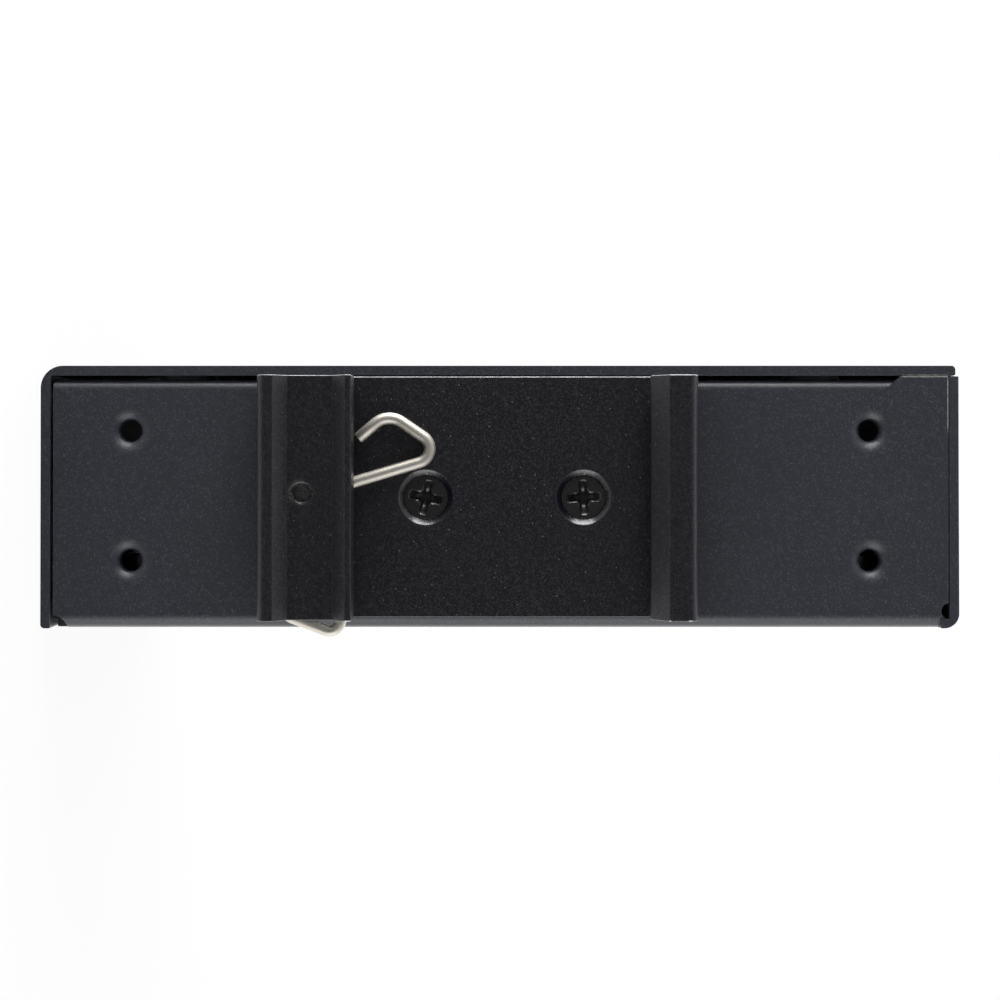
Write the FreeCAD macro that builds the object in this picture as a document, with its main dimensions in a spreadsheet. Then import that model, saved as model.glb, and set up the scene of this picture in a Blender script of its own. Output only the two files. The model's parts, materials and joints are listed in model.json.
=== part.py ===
"""A slim PoE splitter for a 35 mm rail: folded steel case, extruded rail bracket with a wire spring, and board.

Frame: +Z is up as it hangs on the rail, +Y is out of the front with the jacks, and +X is the chassis side.
The origin lies on the rail's seat, midway between the rail's edges and between the case's sides.
"""
import FreeCAD
import Part
import Sketcher
import math
import os

# Driving dimensions in millimetres: name, value, what it measures.
DIMENSIONS = [
    ("case_height", 104.1, "case along Z"),
    ("case_depth", 70.0, "case along Y, back to front"),
    ("case_width", 29.75, "case along X"),
    ("sheet", 1.1, "coated steel sheet"),
    ("rail_rise", 0.75, "rail's middle above the case's middle"),
    ("side_bend", 1.7, "outside radius of the chassis' long bends"),
    ("edge_bend", 1.2, "outside radius of the folded-in edges"),
    ("cover_bend", 2.5, "outside radius of the cover's one bend"),
    ("cover_rim", 0.45, "rounding of the cover's cut ends"),
    ("cover_short", 0.4, "cover's large side stops this far below the top"),
    ("cover_gap", 0.48, "folded-in edge to the cover's inside"),
    ("tab_gap", 0.06, "upright tabs to the cover's inside"),
    ("base_gap", 0.32, "chassis' open end to the cover's end wall"),
    ("wall_gap", 0.1, "back and front to the chassis' end wall"),
    ("edge_depth", 9.0, "folded-in edge along Y"),
    ("edge_short", 7.05, "folded-in edge stops this far below the top"),
    ("edge_root", 1.95, "folded-in edge's bend and flat root along X"),
    ("tab_lead", 1.4, "folded-in edge's run-out into the upright tab along Z"),
    ("relief_wide", 0.93, "bend relief along Z"),
    ("relief_long", 1.75, "bend relief along X"),
    ("relief_from_side", 1.05, "bend relief from the chassis side"),
    ("relief_round", 0.85, "bend relief's rounded corners"),
    ("end_lead", 0.4, "straight run before the end wall's bend"),
    ("notch", 1.46, "radius of the notch at the open end's corner"),
    ("notch_depth", 2.2, "notch along Y"),
    ("wall_pitch_high", 84.0, "wall-plate holes along Z"),
    ("wall_pitch_wide", 14.75, "wall-plate holes along X"),
    ("wall_aside", -0.14, "wall-plate holes' middle from the case's middle along X"),
    ("tapped", 1.25, "radius of a tapped M3 hole"),
    ("clear_hole", 1.65, "radius of a clearance hole for M3"),
    ("burr", 1.2, "burred collar's height inside the sheet"),
    ("burr_wall", 0.65, "burred collar's wall"),
    ("mouth_wide", 1.7, "burred hole's drawn-in mouth, radius at the face"),
    ("mouth_deep", 0.85, "burred hole's mouth, depth where the bore starts"),
    ("plate", 2.5, "bracket's plate"),
    ("bracket_long", 26.9, "bracket along the rail"),
    ("bracket_aside", -0.08, "bracket's middle from the case's middle along X"),
    ("rail_half", 17.5, "half of the 35 mm rail"),
    ("hook_grip", 1.58, "fixed hook over the rail's edge"),
    ("hook_gap", 1.6, "fixed hook's groove for the rail's flange"),
    ("hook_tip", 3.2, "fixed hook's tip above the seat"),
    ("hook_lead", 1.85, "fixed hook's lead-in along Z"),
    ("hook_flat", 2.08, "fixed hook's flat top along Z"),
    ("hook_round", 1.1, "fixed hook's rounded outside"),
    ("bead_rise", 5.5, "beads and hook above the seat"),
    ("lip_grip", 0.56, "spring lip over the rail's edge"),
    ("lip_flat", 0.72, "lip bead's flat top"),
    ("bead_slope", 1.48, "beads' slopes down to the roof"),
    ("roof_wide", 4.96, "roof over the spring channel"),
    ("roof_rise", 4.0, "roof above the seat"),
    ("channel_gap", 1.7, "spring channel's height"),
    ("channel_wall", 1.87, "wall behind the spring channel"),
    ("bead_flat", 0.7, "outer bead's flat top"),
    ("bead_round", 1.05, "outer bead's rounded outside"),
    ("corner_round", 0.25, "rounding of the bracket's other outer corners"),
    ("stake_x", -0.58, "stake along X"),
    ("stake_z", -22.58, "stake along Z"),
    ("stake_floor", 0.95, "stake crater's floor radius"),
    ("stake_flare", 0.3, "stake crater's slope"),
    ("stake_depth", 1.5, "stake crater's depth"),
    ("stake_bump", 0.32, "stake's bump inside the channel"),
    ("stake_bump_round", 0.75, "radius of the stake's bump"),
    ("wire", 1.3, "spring wire diameter"),
    ("wire_lift", 0.02, "spring wire above the seat"),
    ("screw_pitch", 17.69, "bracket screws along Z"),
    ("screw_mid", -0.2, "bracket screws' middle along Z"),
    ("sink_flare", 1.4, "bracket countersink's slope"),
    ("sink_hole", 1.7, "bracket screw hole radius"),
    ("sunk", 0.55, "bracket screw heads below the seat"),
    ("shank", 1.2, "M3 shank radius inside the thread"),
    ("bracket_head", 2.47, "bracket screw head radius"),
    ("bracket_shank_long", 5.6, "bracket screw under its head's top"),
    ("cover_head", 2.6, "cover screw head radius"),
    ("cover_shank_long", 4.4, "cover screw under its head's top"),
    ("cover_sunk", 0.12, "cover screw heads below the cover"),
    ("cover_flare", 1.3, "cover countersink's slope"),
    ("dimple", 3.3, "radius of the cover's dimples"),
    ("cover_screw_in", 5.0, "cover screws from back and front"),
    ("cover_screw_pitch", 72.0, "cover screws along Z"),
    ("cross_span", 3.84, "cross recess tip to tip"),
    ("cross_arm", 0.86, "cross recess arm width"),
    ("cross_depth", 0.55, "cross recess, arms"),
    ("cross_heart", 1.25, "cross recess, middle"),
    ("pan_head", 2.75, "pan head radius"),
    ("pan_high", 2.0, "pan head height"),
    ("pan_shank_long", 4.4, "pan head screw under its head"),
    ("standoff", 3.0, "standoff length"),
    ("standoff_round", 2.4, "standoff radius"),
    ("standoff_hex", 3.2, "standoff's hexagon, middle to corner"),
    ("standoff_in", 6.0, "standoffs from the board's edges"),
    ("board", 1.6, "circuit board thickness"),
    ("board_back", 6.5, "board from the case's back"),
    ("board_front", 3.1, "board from the case's front"),
    ("board_end", 3.0, "board from the case's ends"),
    ("board_hole", 1.6, "board's screw hole radius"),
    ("jack_wide", 16.0, "jack along Z"),
    ("jack_high", 13.4, "jack off the board"),
    ("jack_deep", 21.0, "jack along Y"),
    ("jack_proud", 0.4, "jacks stand out of the front"),
    ("jack_pitch", 24.0, "jack to jack"),
    ("jack_skin", 0.3, "jack shield's sheet"),
    ("jack_clear", 0.2, "front's window round a jack"),
    ("plug_wide", 11.8, "plug hole along Z"),
    ("plug_high", 6.6, "plug hole off the board"),
    ("plug_deep", 14.0, "plug hole along Y"),
    ("plug_floor", 4.0, "plug hole above the board"),
    ("latch_wide", 6.2, "latch groove, wide step"),
    ("latch_high", 1.6, "latch groove, wide step"),
    ("latch_slot_wide", 3.3, "latch groove, narrow step"),
    ("latch_slot_high", 1.2, "latch groove, narrow step"),
    ("contact_pitch", 1.02, "contact to contact"),
    ("contact_wide", 0.45, "contact width"),
    ("contact_thick", 0.3, "contact thickness"),
    ("contact_front", 2.5, "contacts start behind the jack's face"),
    ("contact_run", 6.5, "contacts along Y"),
    ("contact_root", 1.2, "contact's root along Y"),
    ("contact_drop", 1.7, "contacts into the plug hole"),
    ("header_wide", 11.0, "power socket along Y"),
    ("header_high", 8.6, "power socket off the board"),
    ("header_deep", 12.0, "power socket along Z"),
    ("header_wall", 0.9, "power socket's wall"),
    ("header_floor", 3.5, "power socket's solid end"),
    ("header_mid", 24.0, "power socket's middle along Y"),
    ("header_clear", 0.2, "end wall's window round the socket"),
    ("header_lag", 0.1, "socket behind the end wall"),
    ("pin_side", 1.0, "power pin's square side"),
    ("pin_long", 7.0, "power pin's length"),
    ("pin_pitch", 5.08, "power pin to power pin"),
    ("pin_lift", 2.9, "power pins above the board"),
    ("led_first", 30.0, "lowest indicator along Z"),
    ("led_pitch", 6.0, "indicator to indicator"),
    ("led_lift", 2.5, "indicator's axis above the board"),
    ("led_wide", 4.0, "lamp body along Z"),
    ("led_high", 4.6, "lamp body off the board"),
    ("led_deep", 2.8, "lamp body along Y"),
    ("led_lens", 2.0, "lamp lens, a square's side"),
    ("led_lens_long", 0.9, "lamp lens length"),
    ("pipe_round", 1.5, "light pipe radius"),
    ("pipe_behind", 0.8, "light pipe behind the front"),
    ("pipe_proud", 0.9, "light pipe out of the front"),
    ("pipe_rim", 0.35, "light pipe's chamfered end"),
    ("pipe_clear", 0.05, "front's hole round a light pipe"),
    ("lead_thick", 0.3, "leads of the parts on the board"),
    ("lead_reach", 1.1, "leads beyond the parts' bodies"),
    ("seat_gap", 0.1, "parts' bodies above the board"),
    ("core_y", 21.0, "power transformer's middle along Y"),
    ("core_z", 4.0, "power transformer's middle along Z"),
    ("core_lift", 1.2, "core above the board"),
    ("core_high", 14.0, "core off the board"),
    ("core_long", 22.0, "core along Z"),
    ("core_deep", 10.0, "core along Y"),
    ("core_leg", 3.6, "core's middle leg"),
    ("core_window", 3.4, "core's windows off the board"),
    ("core_window_long", 14.0, "core's windows along Z"),
    ("bobbin_clear", 0.05, "bobbin round the middle leg"),
    ("bobbin_wall", 0.6, "bobbin's wall"),
    ("bobbin_flange", 0.8, "bobbin's flanges"),
    ("bobbin_end_gap", 0.1, "bobbin's flanges from the window's ends"),
    ("bobbin_reach", 8.2, "bobbin's flanges from the middle along Y"),
    ("bobbin_window_gap", 0.1, "bobbin's flanges from the window's top"),
    ("bobbin_foot_in", 5.2, "inside of the bobbin's feet from the middle"),
    ("winding_short", 0.2, "winding inside the flanges"),
    ("winding_round", 1.5, "winding's corners"),
]

# Parts with leads on the board: middle along Y and Z, body along Y and Z, height, leads a side and their pitch.
LEADED_PARTS = {
    "line_transformers_poe": (41.5, -12.0, 9.5, 12.7, 5.7, 8, 1.27, 0.5),
    "line_transformers_data": (41.5, 12.0, 9.5, 12.7, 5.7, 8, 1.27, 0.5),
    "bridge_rectifiers_lines": (57.0, -30.0, 6.5, 8.5, 2.6, 2, 5.1, 1.0),
    "bridge_rectifiers_spares": (46.0, -30.0, 6.5, 8.5, 2.6, 2, 5.1, 1.0),
    "surge_suppressor": (36.0, -28.0, 6.8, 5.9, 2.3, 1, 0.0, 3.0),
    "pd_controller": (27.0, -26.0, 4.4, 5.0, 1.0, 8, 0.65, 0.3),
    "optocoupler": (31.0, 24.0, 6.5, 4.6, 3.5, 2, 2.54, 1.2),
}
LEADED_MEASURES = ("y", "z", "deep", "long", "high", "leads", "pitch", "lead_wide")

# Surface-mounted power packages: middle along Y and Z.
POWER_PACKAGES = {"power_mosfet": (18.0, -17.0), "output_rectifier": (20.0, 21.5)}
PACKAGE_SIZES = [
    ("package_deep", 6.6, "power package along Y"),
    ("package_long", 6.1, "power package along Z"),
    ("package_high", 2.3, "power package off the board"),
    ("package_tab_deep", 5.4, "power package's tab along Y"),
    ("package_tab_long", 1.2, "power package's tab along Z"),
    ("package_tab_thick", 0.5, "power package's tab"),
    ("package_lead_long", 2.8, "power package's leads along Z"),
    ("package_lead_wide", 0.8, "power package's leads along Y"),
    ("package_lead_pitch", 4.56, "power package's leads"),
]

# Electrolytic capacitors: where the first stands along Y and Z, the step to the second, radius and height.
CAPACITORS = {
    "input_capacitors": (24.0, -40.0, 11.0, 0.0, 5.0, 16.0),
    "output_capacitors": (56.0, 29.0, 0.0, 9.0, 4.0, 12.5),
}
CAPACITOR_MEASURES = ("y", "z", "step_y", "step_z", "round", "high")
CAPACITOR_SIZES = [("can_rim", 0.5, "can's crimped rim")]

# The output choke: middle along Y and Z, body, and its cut corners.
CHOKE_SIZES = [
    ("choke_y", 43.0, "output choke's middle along Y"),
    ("choke_z", 31.0, "output choke's middle along Z"),
    ("choke_side", 12.0, "output choke's side"),
    ("choke_high", 8.0, "output choke off the board"),
    ("choke_corner", 2.0, "output choke's cut corners"),
]


def all_dimensions():
    """Every named dimension, the parts on the board included."""
    rows = DIMENSIONS + PACKAGE_SIZES + CAPACITOR_SIZES + CHOKE_SIZES
    for table, measures in ((LEADED_PARTS, LEADED_MEASURES), (CAPACITORS, CAPACITOR_MEASURES)):
        for part, values in table.items():
            rows = rows + [(f"{part}_{word}", value, f"{part}: {word}") for word, value in zip(measures, values)]
    for part, (y, z) in POWER_PACKAGES.items():
        rows = rows + [(f"{part}_y", y, f"{part}: y"), (f"{part}_z", z, f"{part}: z")]
    return rows


class Size:
    """A length with its value in millimetres and the formula that ties it to the sheet of dimensions."""

    def __init__(self, value, formula):
        self.value = value
        self.formula = formula

    def __add__(self, other):
        other = sized(other)
        return Size(self.value + other.value, f"({self.formula} + {other.formula})")

    def __sub__(self, other):
        other = sized(other)
        return Size(self.value - other.value, f"({self.formula} - {other.formula})")

    def __mul__(self, factor):
        return Size(self.value * factor, f"({self.formula} * {factor})")

    def __truediv__(self, factor):
        return Size(self.value / factor, f"({self.formula} / {factor})")

    def __neg__(self):
        return Size(-self.value, f"(0 - {self.formula})")


def sized(value):
    """The value as a Size: a plain number stays a constant."""
    if isinstance(value, Size):
        return value
    return Size(float(value), repr(float(value)))


class Sheet:
    """The dimensions by name, each a Size bound to its cell."""

    def __init__(self, doc):
        cells = doc.addObject("Spreadsheet::Sheet", "Sizes")
        for row, (name, value, meaning) in enumerate(all_dimensions(), start=1):
            cells.set(f"A{row}", meaning)
            cells.set(f"B{row}", str(value))
            cells.setAlias(f"B{row}", name)
            setattr(self, name, Size(value, f"Sizes.{name}"))


doc = FreeCAD.newDocument("PoeSplitter")
mm = Sheet(doc)
doc.recompute()
pieces = []

# Planes that most pieces are measured from.
side = mm.case_width / 2
back = mm.plate
front = back + mm.case_depth
top = mm.case_height / 2 - mm.rail_rise
base = -(mm.case_height / 2) - mm.rail_rise
middle = (top + base) / 2
panel_low = base + mm.sheet + mm.base_gap
panel_high = top - mm.sheet - mm.wall_gap
edge_face = mm.sheet + mm.cover_gap - side
tab_face = mm.sheet + mm.tab_gap - side
edge_high = top - mm.edge_short
board_face = side - mm.sheet - mm.standoff - mm.board
board_under = side - mm.sheet - mm.standoff
board_low = base + mm.board_end
board_high = top - mm.board_end
board_rear = back + mm.board_back
board_fore = front - mm.board_front
jack_face = front + mm.jack_proud
jack_middles = {"poe": -(mm.jack_pitch / 2), "data": mm.jack_pitch / 2}
header_face = top - mm.sheet - mm.header_lag
led_axis = board_face - mm.led_lift


def bind(thing, prop, size):
    """Ties a property to the sheet."""
    thing.setExpression(prop, sized(size).formula)


def keep(thing, label):
    """Names a finished piece, which is written to a file of that name."""
    thing.Label = label
    pieces.append(thing)
    return thing


def new_body(name):
    return doc.addObject("PartDesign::Body", name)


def new_sketch(body, plane, lift=0):
    """A sketch on one of the body's own planes, lifted along the plane's normal."""
    sketch = body.newObject("Sketcher::SketchObject", "Sketch")
    support = next(f for f in body.Origin.OriginFeatures if f.Role == plane)
    sketch.AttachmentSupport = [(support, "")]
    sketch.MapMode = "FlatFace"
    bind(sketch, "AttachmentOffset.Base.z", lift)
    return sketch


def flat_point(corner):
    return FreeCAD.Vector(sized(corner[0]).value, sized(corner[1]).value, 0)


def hold(sketch, geometry, end, corner):
    """Holds one point of a sketch by its two distances from the origin."""
    for kind, size in zip(("DistanceX", "DistanceY"), corner):
        rule = Sketcher.Constraint(kind, -1, 1, geometry, end, sized(size).value)
        number = sketch.addConstraint(rule)
        bind(sketch, f"Constraints[{number}]", size)


def toward(corner, other, radius):
    """The corner moved by the radius towards another, along a line that runs with an axis."""
    spot = []
    for here, there in zip(corner[:2], other[:2]):
        gap = sized(there).value - sized(here).value
        sign = (gap > 1e-6) - (gap < -1e-6)
        spot.append(sized(here) + radius * sign)
    return spot


def bend(sketch, entry, corner, leave):
    """The arc round a corner, with the ends where an outline enters and leaves it."""
    radius = corner[2]
    inward, spot, onward = (flat_point(point) for point in (entry, corner, leave))
    centre = inward + onward - spot
    starts = inward - centre
    ends = onward - centre
    left_turn = starts.cross(ends).z > 0
    first, last = (starts, ends) if left_turn else (ends, starts)
    ring = Part.Circle(centre, FreeCAD.Vector(0, 0, 1), radius.value)
    arc = Part.ArcOfCircle(ring, math.atan2(first.y, first.x), math.atan2(last.y, last.x))
    number = sketch.addGeometry(arc, False)
    rule = sketch.addConstraint(Sketcher.Constraint("Radius", number, radius.value))
    bind(sketch, f"Constraints[{rule}]", radius)
    return (number, 1, 2, entry) if left_turn else (number, 2, 1, entry)


def outline(sketch, corners):
    """A closed run of straight lines through the corners, rounded where a corner names a radius."""
    count = len(corners)
    entries = []
    leaves = []
    for index, corner in enumerate(corners):
        rounded = len(corner) == 3
        entries.append(toward(corner, corners[index - 1], corner[2]) if rounded else corner)
        leaves.append(toward(corner, corners[(index + 1) % count], corner[2]) if rounded else corner)
    runs = []
    for index, corner in enumerate(corners):
        if len(corner) == 3:
            runs.append(bend(sketch, entries[index], corner, leaves[index]))
        ahead = entries[(index + 1) % count]
        line = Part.LineSegment(flat_point(leaves[index]), flat_point(ahead))
        runs.append((sketch.addGeometry(line, False), 1, 2, leaves[index]))
    for index, (number, start, _, spot) in enumerate(runs):
        before = runs[index - 1]
        sketch.addConstraint(Sketcher.Constraint("Coincident", before[0], before[2], number, start))
        hold(sketch, number, start, spot)


def rectangle(sketch, low, high):
    outline(sketch, [low, (high[0], low[1]), high, (low[0], high[1])])


def circle(sketch, centre, radius):
    radius = sized(radius)
    ring = Part.Circle(flat_point(centre), FreeCAD.Vector(0, 0, 1), radius.value)
    number = sketch.addGeometry(ring, False)
    hold(sketch, number, 3, centre)
    rule = sketch.addConstraint(Sketcher.Constraint("Radius", number, radius.value))
    bind(sketch, f"Constraints[{rule}]", radius)


def hexagon(sketch, centre, reach):
    """A regular hexagon with a corner straight up."""
    corners = []
    for step in range(6):
        turn = math.radians(90 + 60 * step)
        corners.append((centre[0] + reach * math.cos(turn), centre[1] + reach * math.sin(turn)))
    outline(sketch, corners)


def extrude(body, kind, sketch, length, reverse, taper=None):
    """A pad or a pocket, which has to change the body's volume. A taper is how much its radius shrinks."""
    before = body.Shape.Volume if body.Tip else 0
    feature = body.newObject(f"PartDesign::{kind}", kind)
    feature.Profile = sketch
    feature.Reversed = reverse
    bind(feature, "Length", length)
    if taper is not None:
        feature.setExpression("TaperAngle", f"-atan({taper.formula} / {length.formula})")
    doc.recompute()
    if abs(body.Shape.Volume - before) < 1e-6:
        raise RuntimeError(f"{body.Name}: {feature.Name} changes nothing")
    return feature


def pad(body, sketch, length, reverse=False):
    return extrude(body, "Pad", sketch, length, reverse)


def pocket(body, sketch, length, reverse=False, taper=None):
    return extrude(body, "Pocket", sketch, length, reverse, taper)


def revolve(body, sketch):
    """A full turn round the sketch's upright axis."""
    feature = body.newObject("PartDesign::Revolution", "Revolution")
    feature.Profile = sketch
    feature.ReferenceAxis = (sketch, ["V_Axis"])
    feature.Angle = 360
    doc.recompute()
    return feature


def repeat(body, originals, sketch, direction, length, count):
    """The originals again along one of the sketch's axes, over a whole length."""
    pattern = body.newObject("PartDesign::LinearPattern", "LinearPattern")
    pattern.Originals = originals
    pattern.Direction = (sketch, [direction])
    bind(pattern, "Length", length)
    pattern.Occurrences = count
    body.Tip = pattern
    doc.recompute()
    return pattern


def edges_at(shape, **places):
    """The names of the edges that lie wholly at the given coordinates."""
    names = []
    for number, edge in enumerate(shape.Edges, start=1):
        gaps = []
        for letter, size in places.items():
            gaps += [abs(getattr(v.Point, letter) - sized(size).value) for v in edge.Vertexes]
        if max(gaps) < 1e-4:
            names.append(f"Edge{number}")
    return names


def rims_at(shape, radius, letter, size):
    """The names of the round edges of one radius in one plane."""
    names = []
    for name in edges_at(shape, **{letter: size}):
        curve = shape.getElement(name).Curve
        if isinstance(curve, Part.Circle) and abs(curve.Radius - radius.value) < 1e-4:
            names.append(name)
    return names


def dress(body, kind, size, names):
    """A fillet or a chamfer on named edges of the body's last feature."""
    if not names:
        raise RuntimeError(f"{body.Name}: no edge for a {kind}")
    last = body.Tip
    feature = body.newObject(f"PartDesign::{kind}", kind)
    feature.Base = (last, names)
    bind(feature, "Radius" if kind == "Fillet" else "Size", size)
    doc.recompute()
    return feature


def fillet(body, size, names):
    return dress(body, "Fillet", size, names)


def chamfer(body, size, names):
    return dress(body, "Chamfer", size, names)


def place(thing, spot, rotation=None):
    """Sets a piece's place from the sheet, and its turn."""
    if rotation is not None:
        thing.Placement = FreeCAD.Placement(FreeCAD.Vector(), rotation)
    for letter, size in zip("xyz", spot):
        bind(thing, f"Placement.Base.{letter}", size)


def group(name, things):
    """Like pieces as one node of separate solids."""
    compound = doc.addObject("Part::Compound", name)
    compound.Links = things
    return keep(compound, name)


def corners_of(low, high, first, second):
    """The four places that two pairs of values give."""
    return [(a, b) for a in (low, high) for b in (first, second)]


# Places of the screws and standoffs.
wall_holes = corners_of(
    mm.wall_aside - mm.wall_pitch_wide / 2,
    mm.wall_aside + mm.wall_pitch_wide / 2,
    middle - mm.wall_pitch_high / 2,
    middle + mm.wall_pitch_high / 2,
)
bracket_holes = [
    (sized(0), mm.screw_mid - mm.screw_pitch / 2),
    (sized(0), mm.screw_mid + mm.screw_pitch / 2),
]
cover_holes = corners_of(
    back + mm.cover_screw_in,
    front - mm.cover_screw_in,
    middle - mm.cover_screw_pitch / 2,
    middle + mm.cover_screw_pitch / 2,
)
standoff_spots = corners_of(
    board_rear + mm.standoff_in,
    board_fore - mm.standoff_in,
    board_low + mm.standoff_in,
    board_high - mm.standoff_in,
)
led_spots = [mm.led_first + mm.led_pitch * step for step in range(3)]


def make_chassis():
    """The folded tray: one large side, back, front and top end wall, with folded-in edges."""
    body = new_body("chassis")
    wall_end = edge_face + mm.edge_root
    side_inner = side - mm.sheet
    inner_bend = mm.side_bend - mm.sheet

    tray = new_sketch(body, "XY_Plane", panel_low)
    outline(tray, [
        (side, back, mm.side_bend), (side, front, mm.side_bend),
        (wall_end, front), (wall_end, front - mm.sheet),
        (side_inner, front - mm.sheet, inner_bend), (side_inner, back + mm.sheet, inner_bend),
        (wall_end, back + mm.sheet), (wall_end, back),
    ])
    pad(body, tray, panel_high - panel_low)

    edges = new_sketch(body, "XY_Plane", panel_low)
    for outer, inward in ((back, 1), (front, -1)):
        inner = outer + mm.sheet * inward
        tip = outer + mm.edge_depth * inward
        outline(edges, [
            (wall_end, outer), (edge_face, outer, mm.edge_bend), (edge_face, tip),
            (edge_face + mm.sheet, tip), (edge_face + mm.sheet, inner, mm.edge_bend - mm.sheet),
            (wall_end, inner),
        ])
    pad(body, edges, edge_high - panel_low)

    tab_start = edge_high + (edge_face - tab_face)
    run_out = edge_high - mm.tab_lead
    for outer in (back + mm.sheet, front):
        tab = new_sketch(body, "XZ_Plane", -outer)
        outline(tab, [
            (wall_end, run_out), (edge_face + mm.edge_bend, run_out), (edge_face, edge_high),
            (tab_face, tab_start), (tab_face, panel_high), (wall_end, panel_high),
        ])
        pad(body, tab, mm.sheet)

    wall_start = top - mm.side_bend - mm.end_lead
    end_wall = new_sketch(body, "XZ_Plane", -front)
    outline(end_wall, [
        (side, wall_start), (side, top, mm.side_bend), (tab_face, top), (tab_face, top - mm.sheet),
        (side_inner, top - mm.sheet, inner_bend), (side_inner, wall_start),
    ])
    pad(body, end_wall, mm.case_depth)

    relief = new_sketch(body, "XZ_Plane", -back)
    relief_high = top - mm.sheet
    relief_low = relief_high - mm.relief_wide
    relief_in = side - mm.relief_from_side - mm.relief_long
    relief_out = side - mm.relief_from_side
    outline(relief, [
        (relief_in, relief_low, mm.relief_round), (relief_out, relief_low, mm.relief_round),
        (relief_out, relief_high), (relief_in, relief_high),
    ])
    pocket(body, relief, mm.notch_depth)

    notch = new_sketch(body, "XZ_Plane", -back)
    circle(notch, (side, panel_low), mm.notch)
    pocket(body, notch, mm.notch_depth)

    screw_holes = wall_holes + bracket_holes
    collars = new_sketch(body, "XZ_Plane", -(back + mm.sheet))
    for spot in screw_holes:
        circle(collars, spot, mm.tapped + mm.burr_wall)
    pad(body, collars, mm.burr, reverse=True)
    bores = new_sketch(body, "XZ_Plane", -back)
    for spot in screw_holes:
        circle(bores, spot, mm.tapped)
    pocket(body, bores, mm.sheet + mm.burr)
    mouths = new_sketch(body, "XZ_Plane", -back)
    for spot in wall_holes:
        circle(mouths, spot, mm.mouth_wide)
    pocket(body, mouths, mm.mouth_deep, taper=mm.mouth_wide - mm.tapped)

    windows = new_sketch(body, "XZ_Plane", -front)
    half_window = mm.jack_wide / 2 + mm.jack_clear
    for mid in jack_middles.values():
        low = (board_face - mm.jack_high - mm.jack_clear, mid - half_window)
        rectangle(windows, low, (board_face + mm.jack_clear, mid + half_window))
    for spot in led_spots:
        circle(windows, (led_axis, spot), mm.pipe_round + mm.pipe_clear)
    pocket(body, windows, mm.sheet, reverse=True)

    socket = new_sketch(body, "XY_Plane", top)
    half_socket = mm.header_wide / 2 + mm.header_clear
    low = (board_face - mm.header_high - mm.header_clear, mm.header_mid - half_socket)
    rectangle(socket, low, (board_face + mm.header_clear, mm.header_mid + half_socket))
    pocket(body, socket, mm.sheet)

    clinches = new_sketch(body, "YZ_Plane", side)
    for spot in standoff_spots:
        hexagon(clinches, spot, mm.standoff_hex)
    pocket(body, clinches, mm.sheet)

    threads = new_sketch(body, "YZ_Plane", edge_face + mm.sheet)
    for spot in cover_holes:
        circle(threads, spot, mm.tapped)
    pocket(body, threads, mm.sheet)
    return keep(body, "chassis")


def make_cover():
    """The folded lid: the other large side and the bottom end wall that the case stands on."""
    body = new_body("cover")
    cover_high = top - mm.cover_short
    lid = new_sketch(body, "XZ_Plane", -front)
    outline(lid, [
        (-side, base, mm.cover_bend), (side, base, mm.cover_rim), (side, base + mm.sheet),
        (mm.sheet - side, base + mm.sheet), (mm.sheet - side, cover_high), (-side, cover_high, mm.cover_rim),
    ])
    pad(body, lid, mm.case_depth)

    dimples = new_sketch(body, "YZ_Plane", mm.sheet - side)
    for spot in cover_holes:
        circle(dimples, spot, mm.dimple)
    pad(body, dimples, mm.cover_gap)
    holes = new_sketch(body, "YZ_Plane", -side)
    for spot in cover_holes:
        circle(holes, spot, mm.clear_hole)
    pocket(body, holes, mm.sheet + mm.cover_gap, reverse=True)
    chamfer(body, mm.cover_flare, rims_at(body.Shape, mm.clear_hole, "x", -side))
    return keep(body, "cover")


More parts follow.
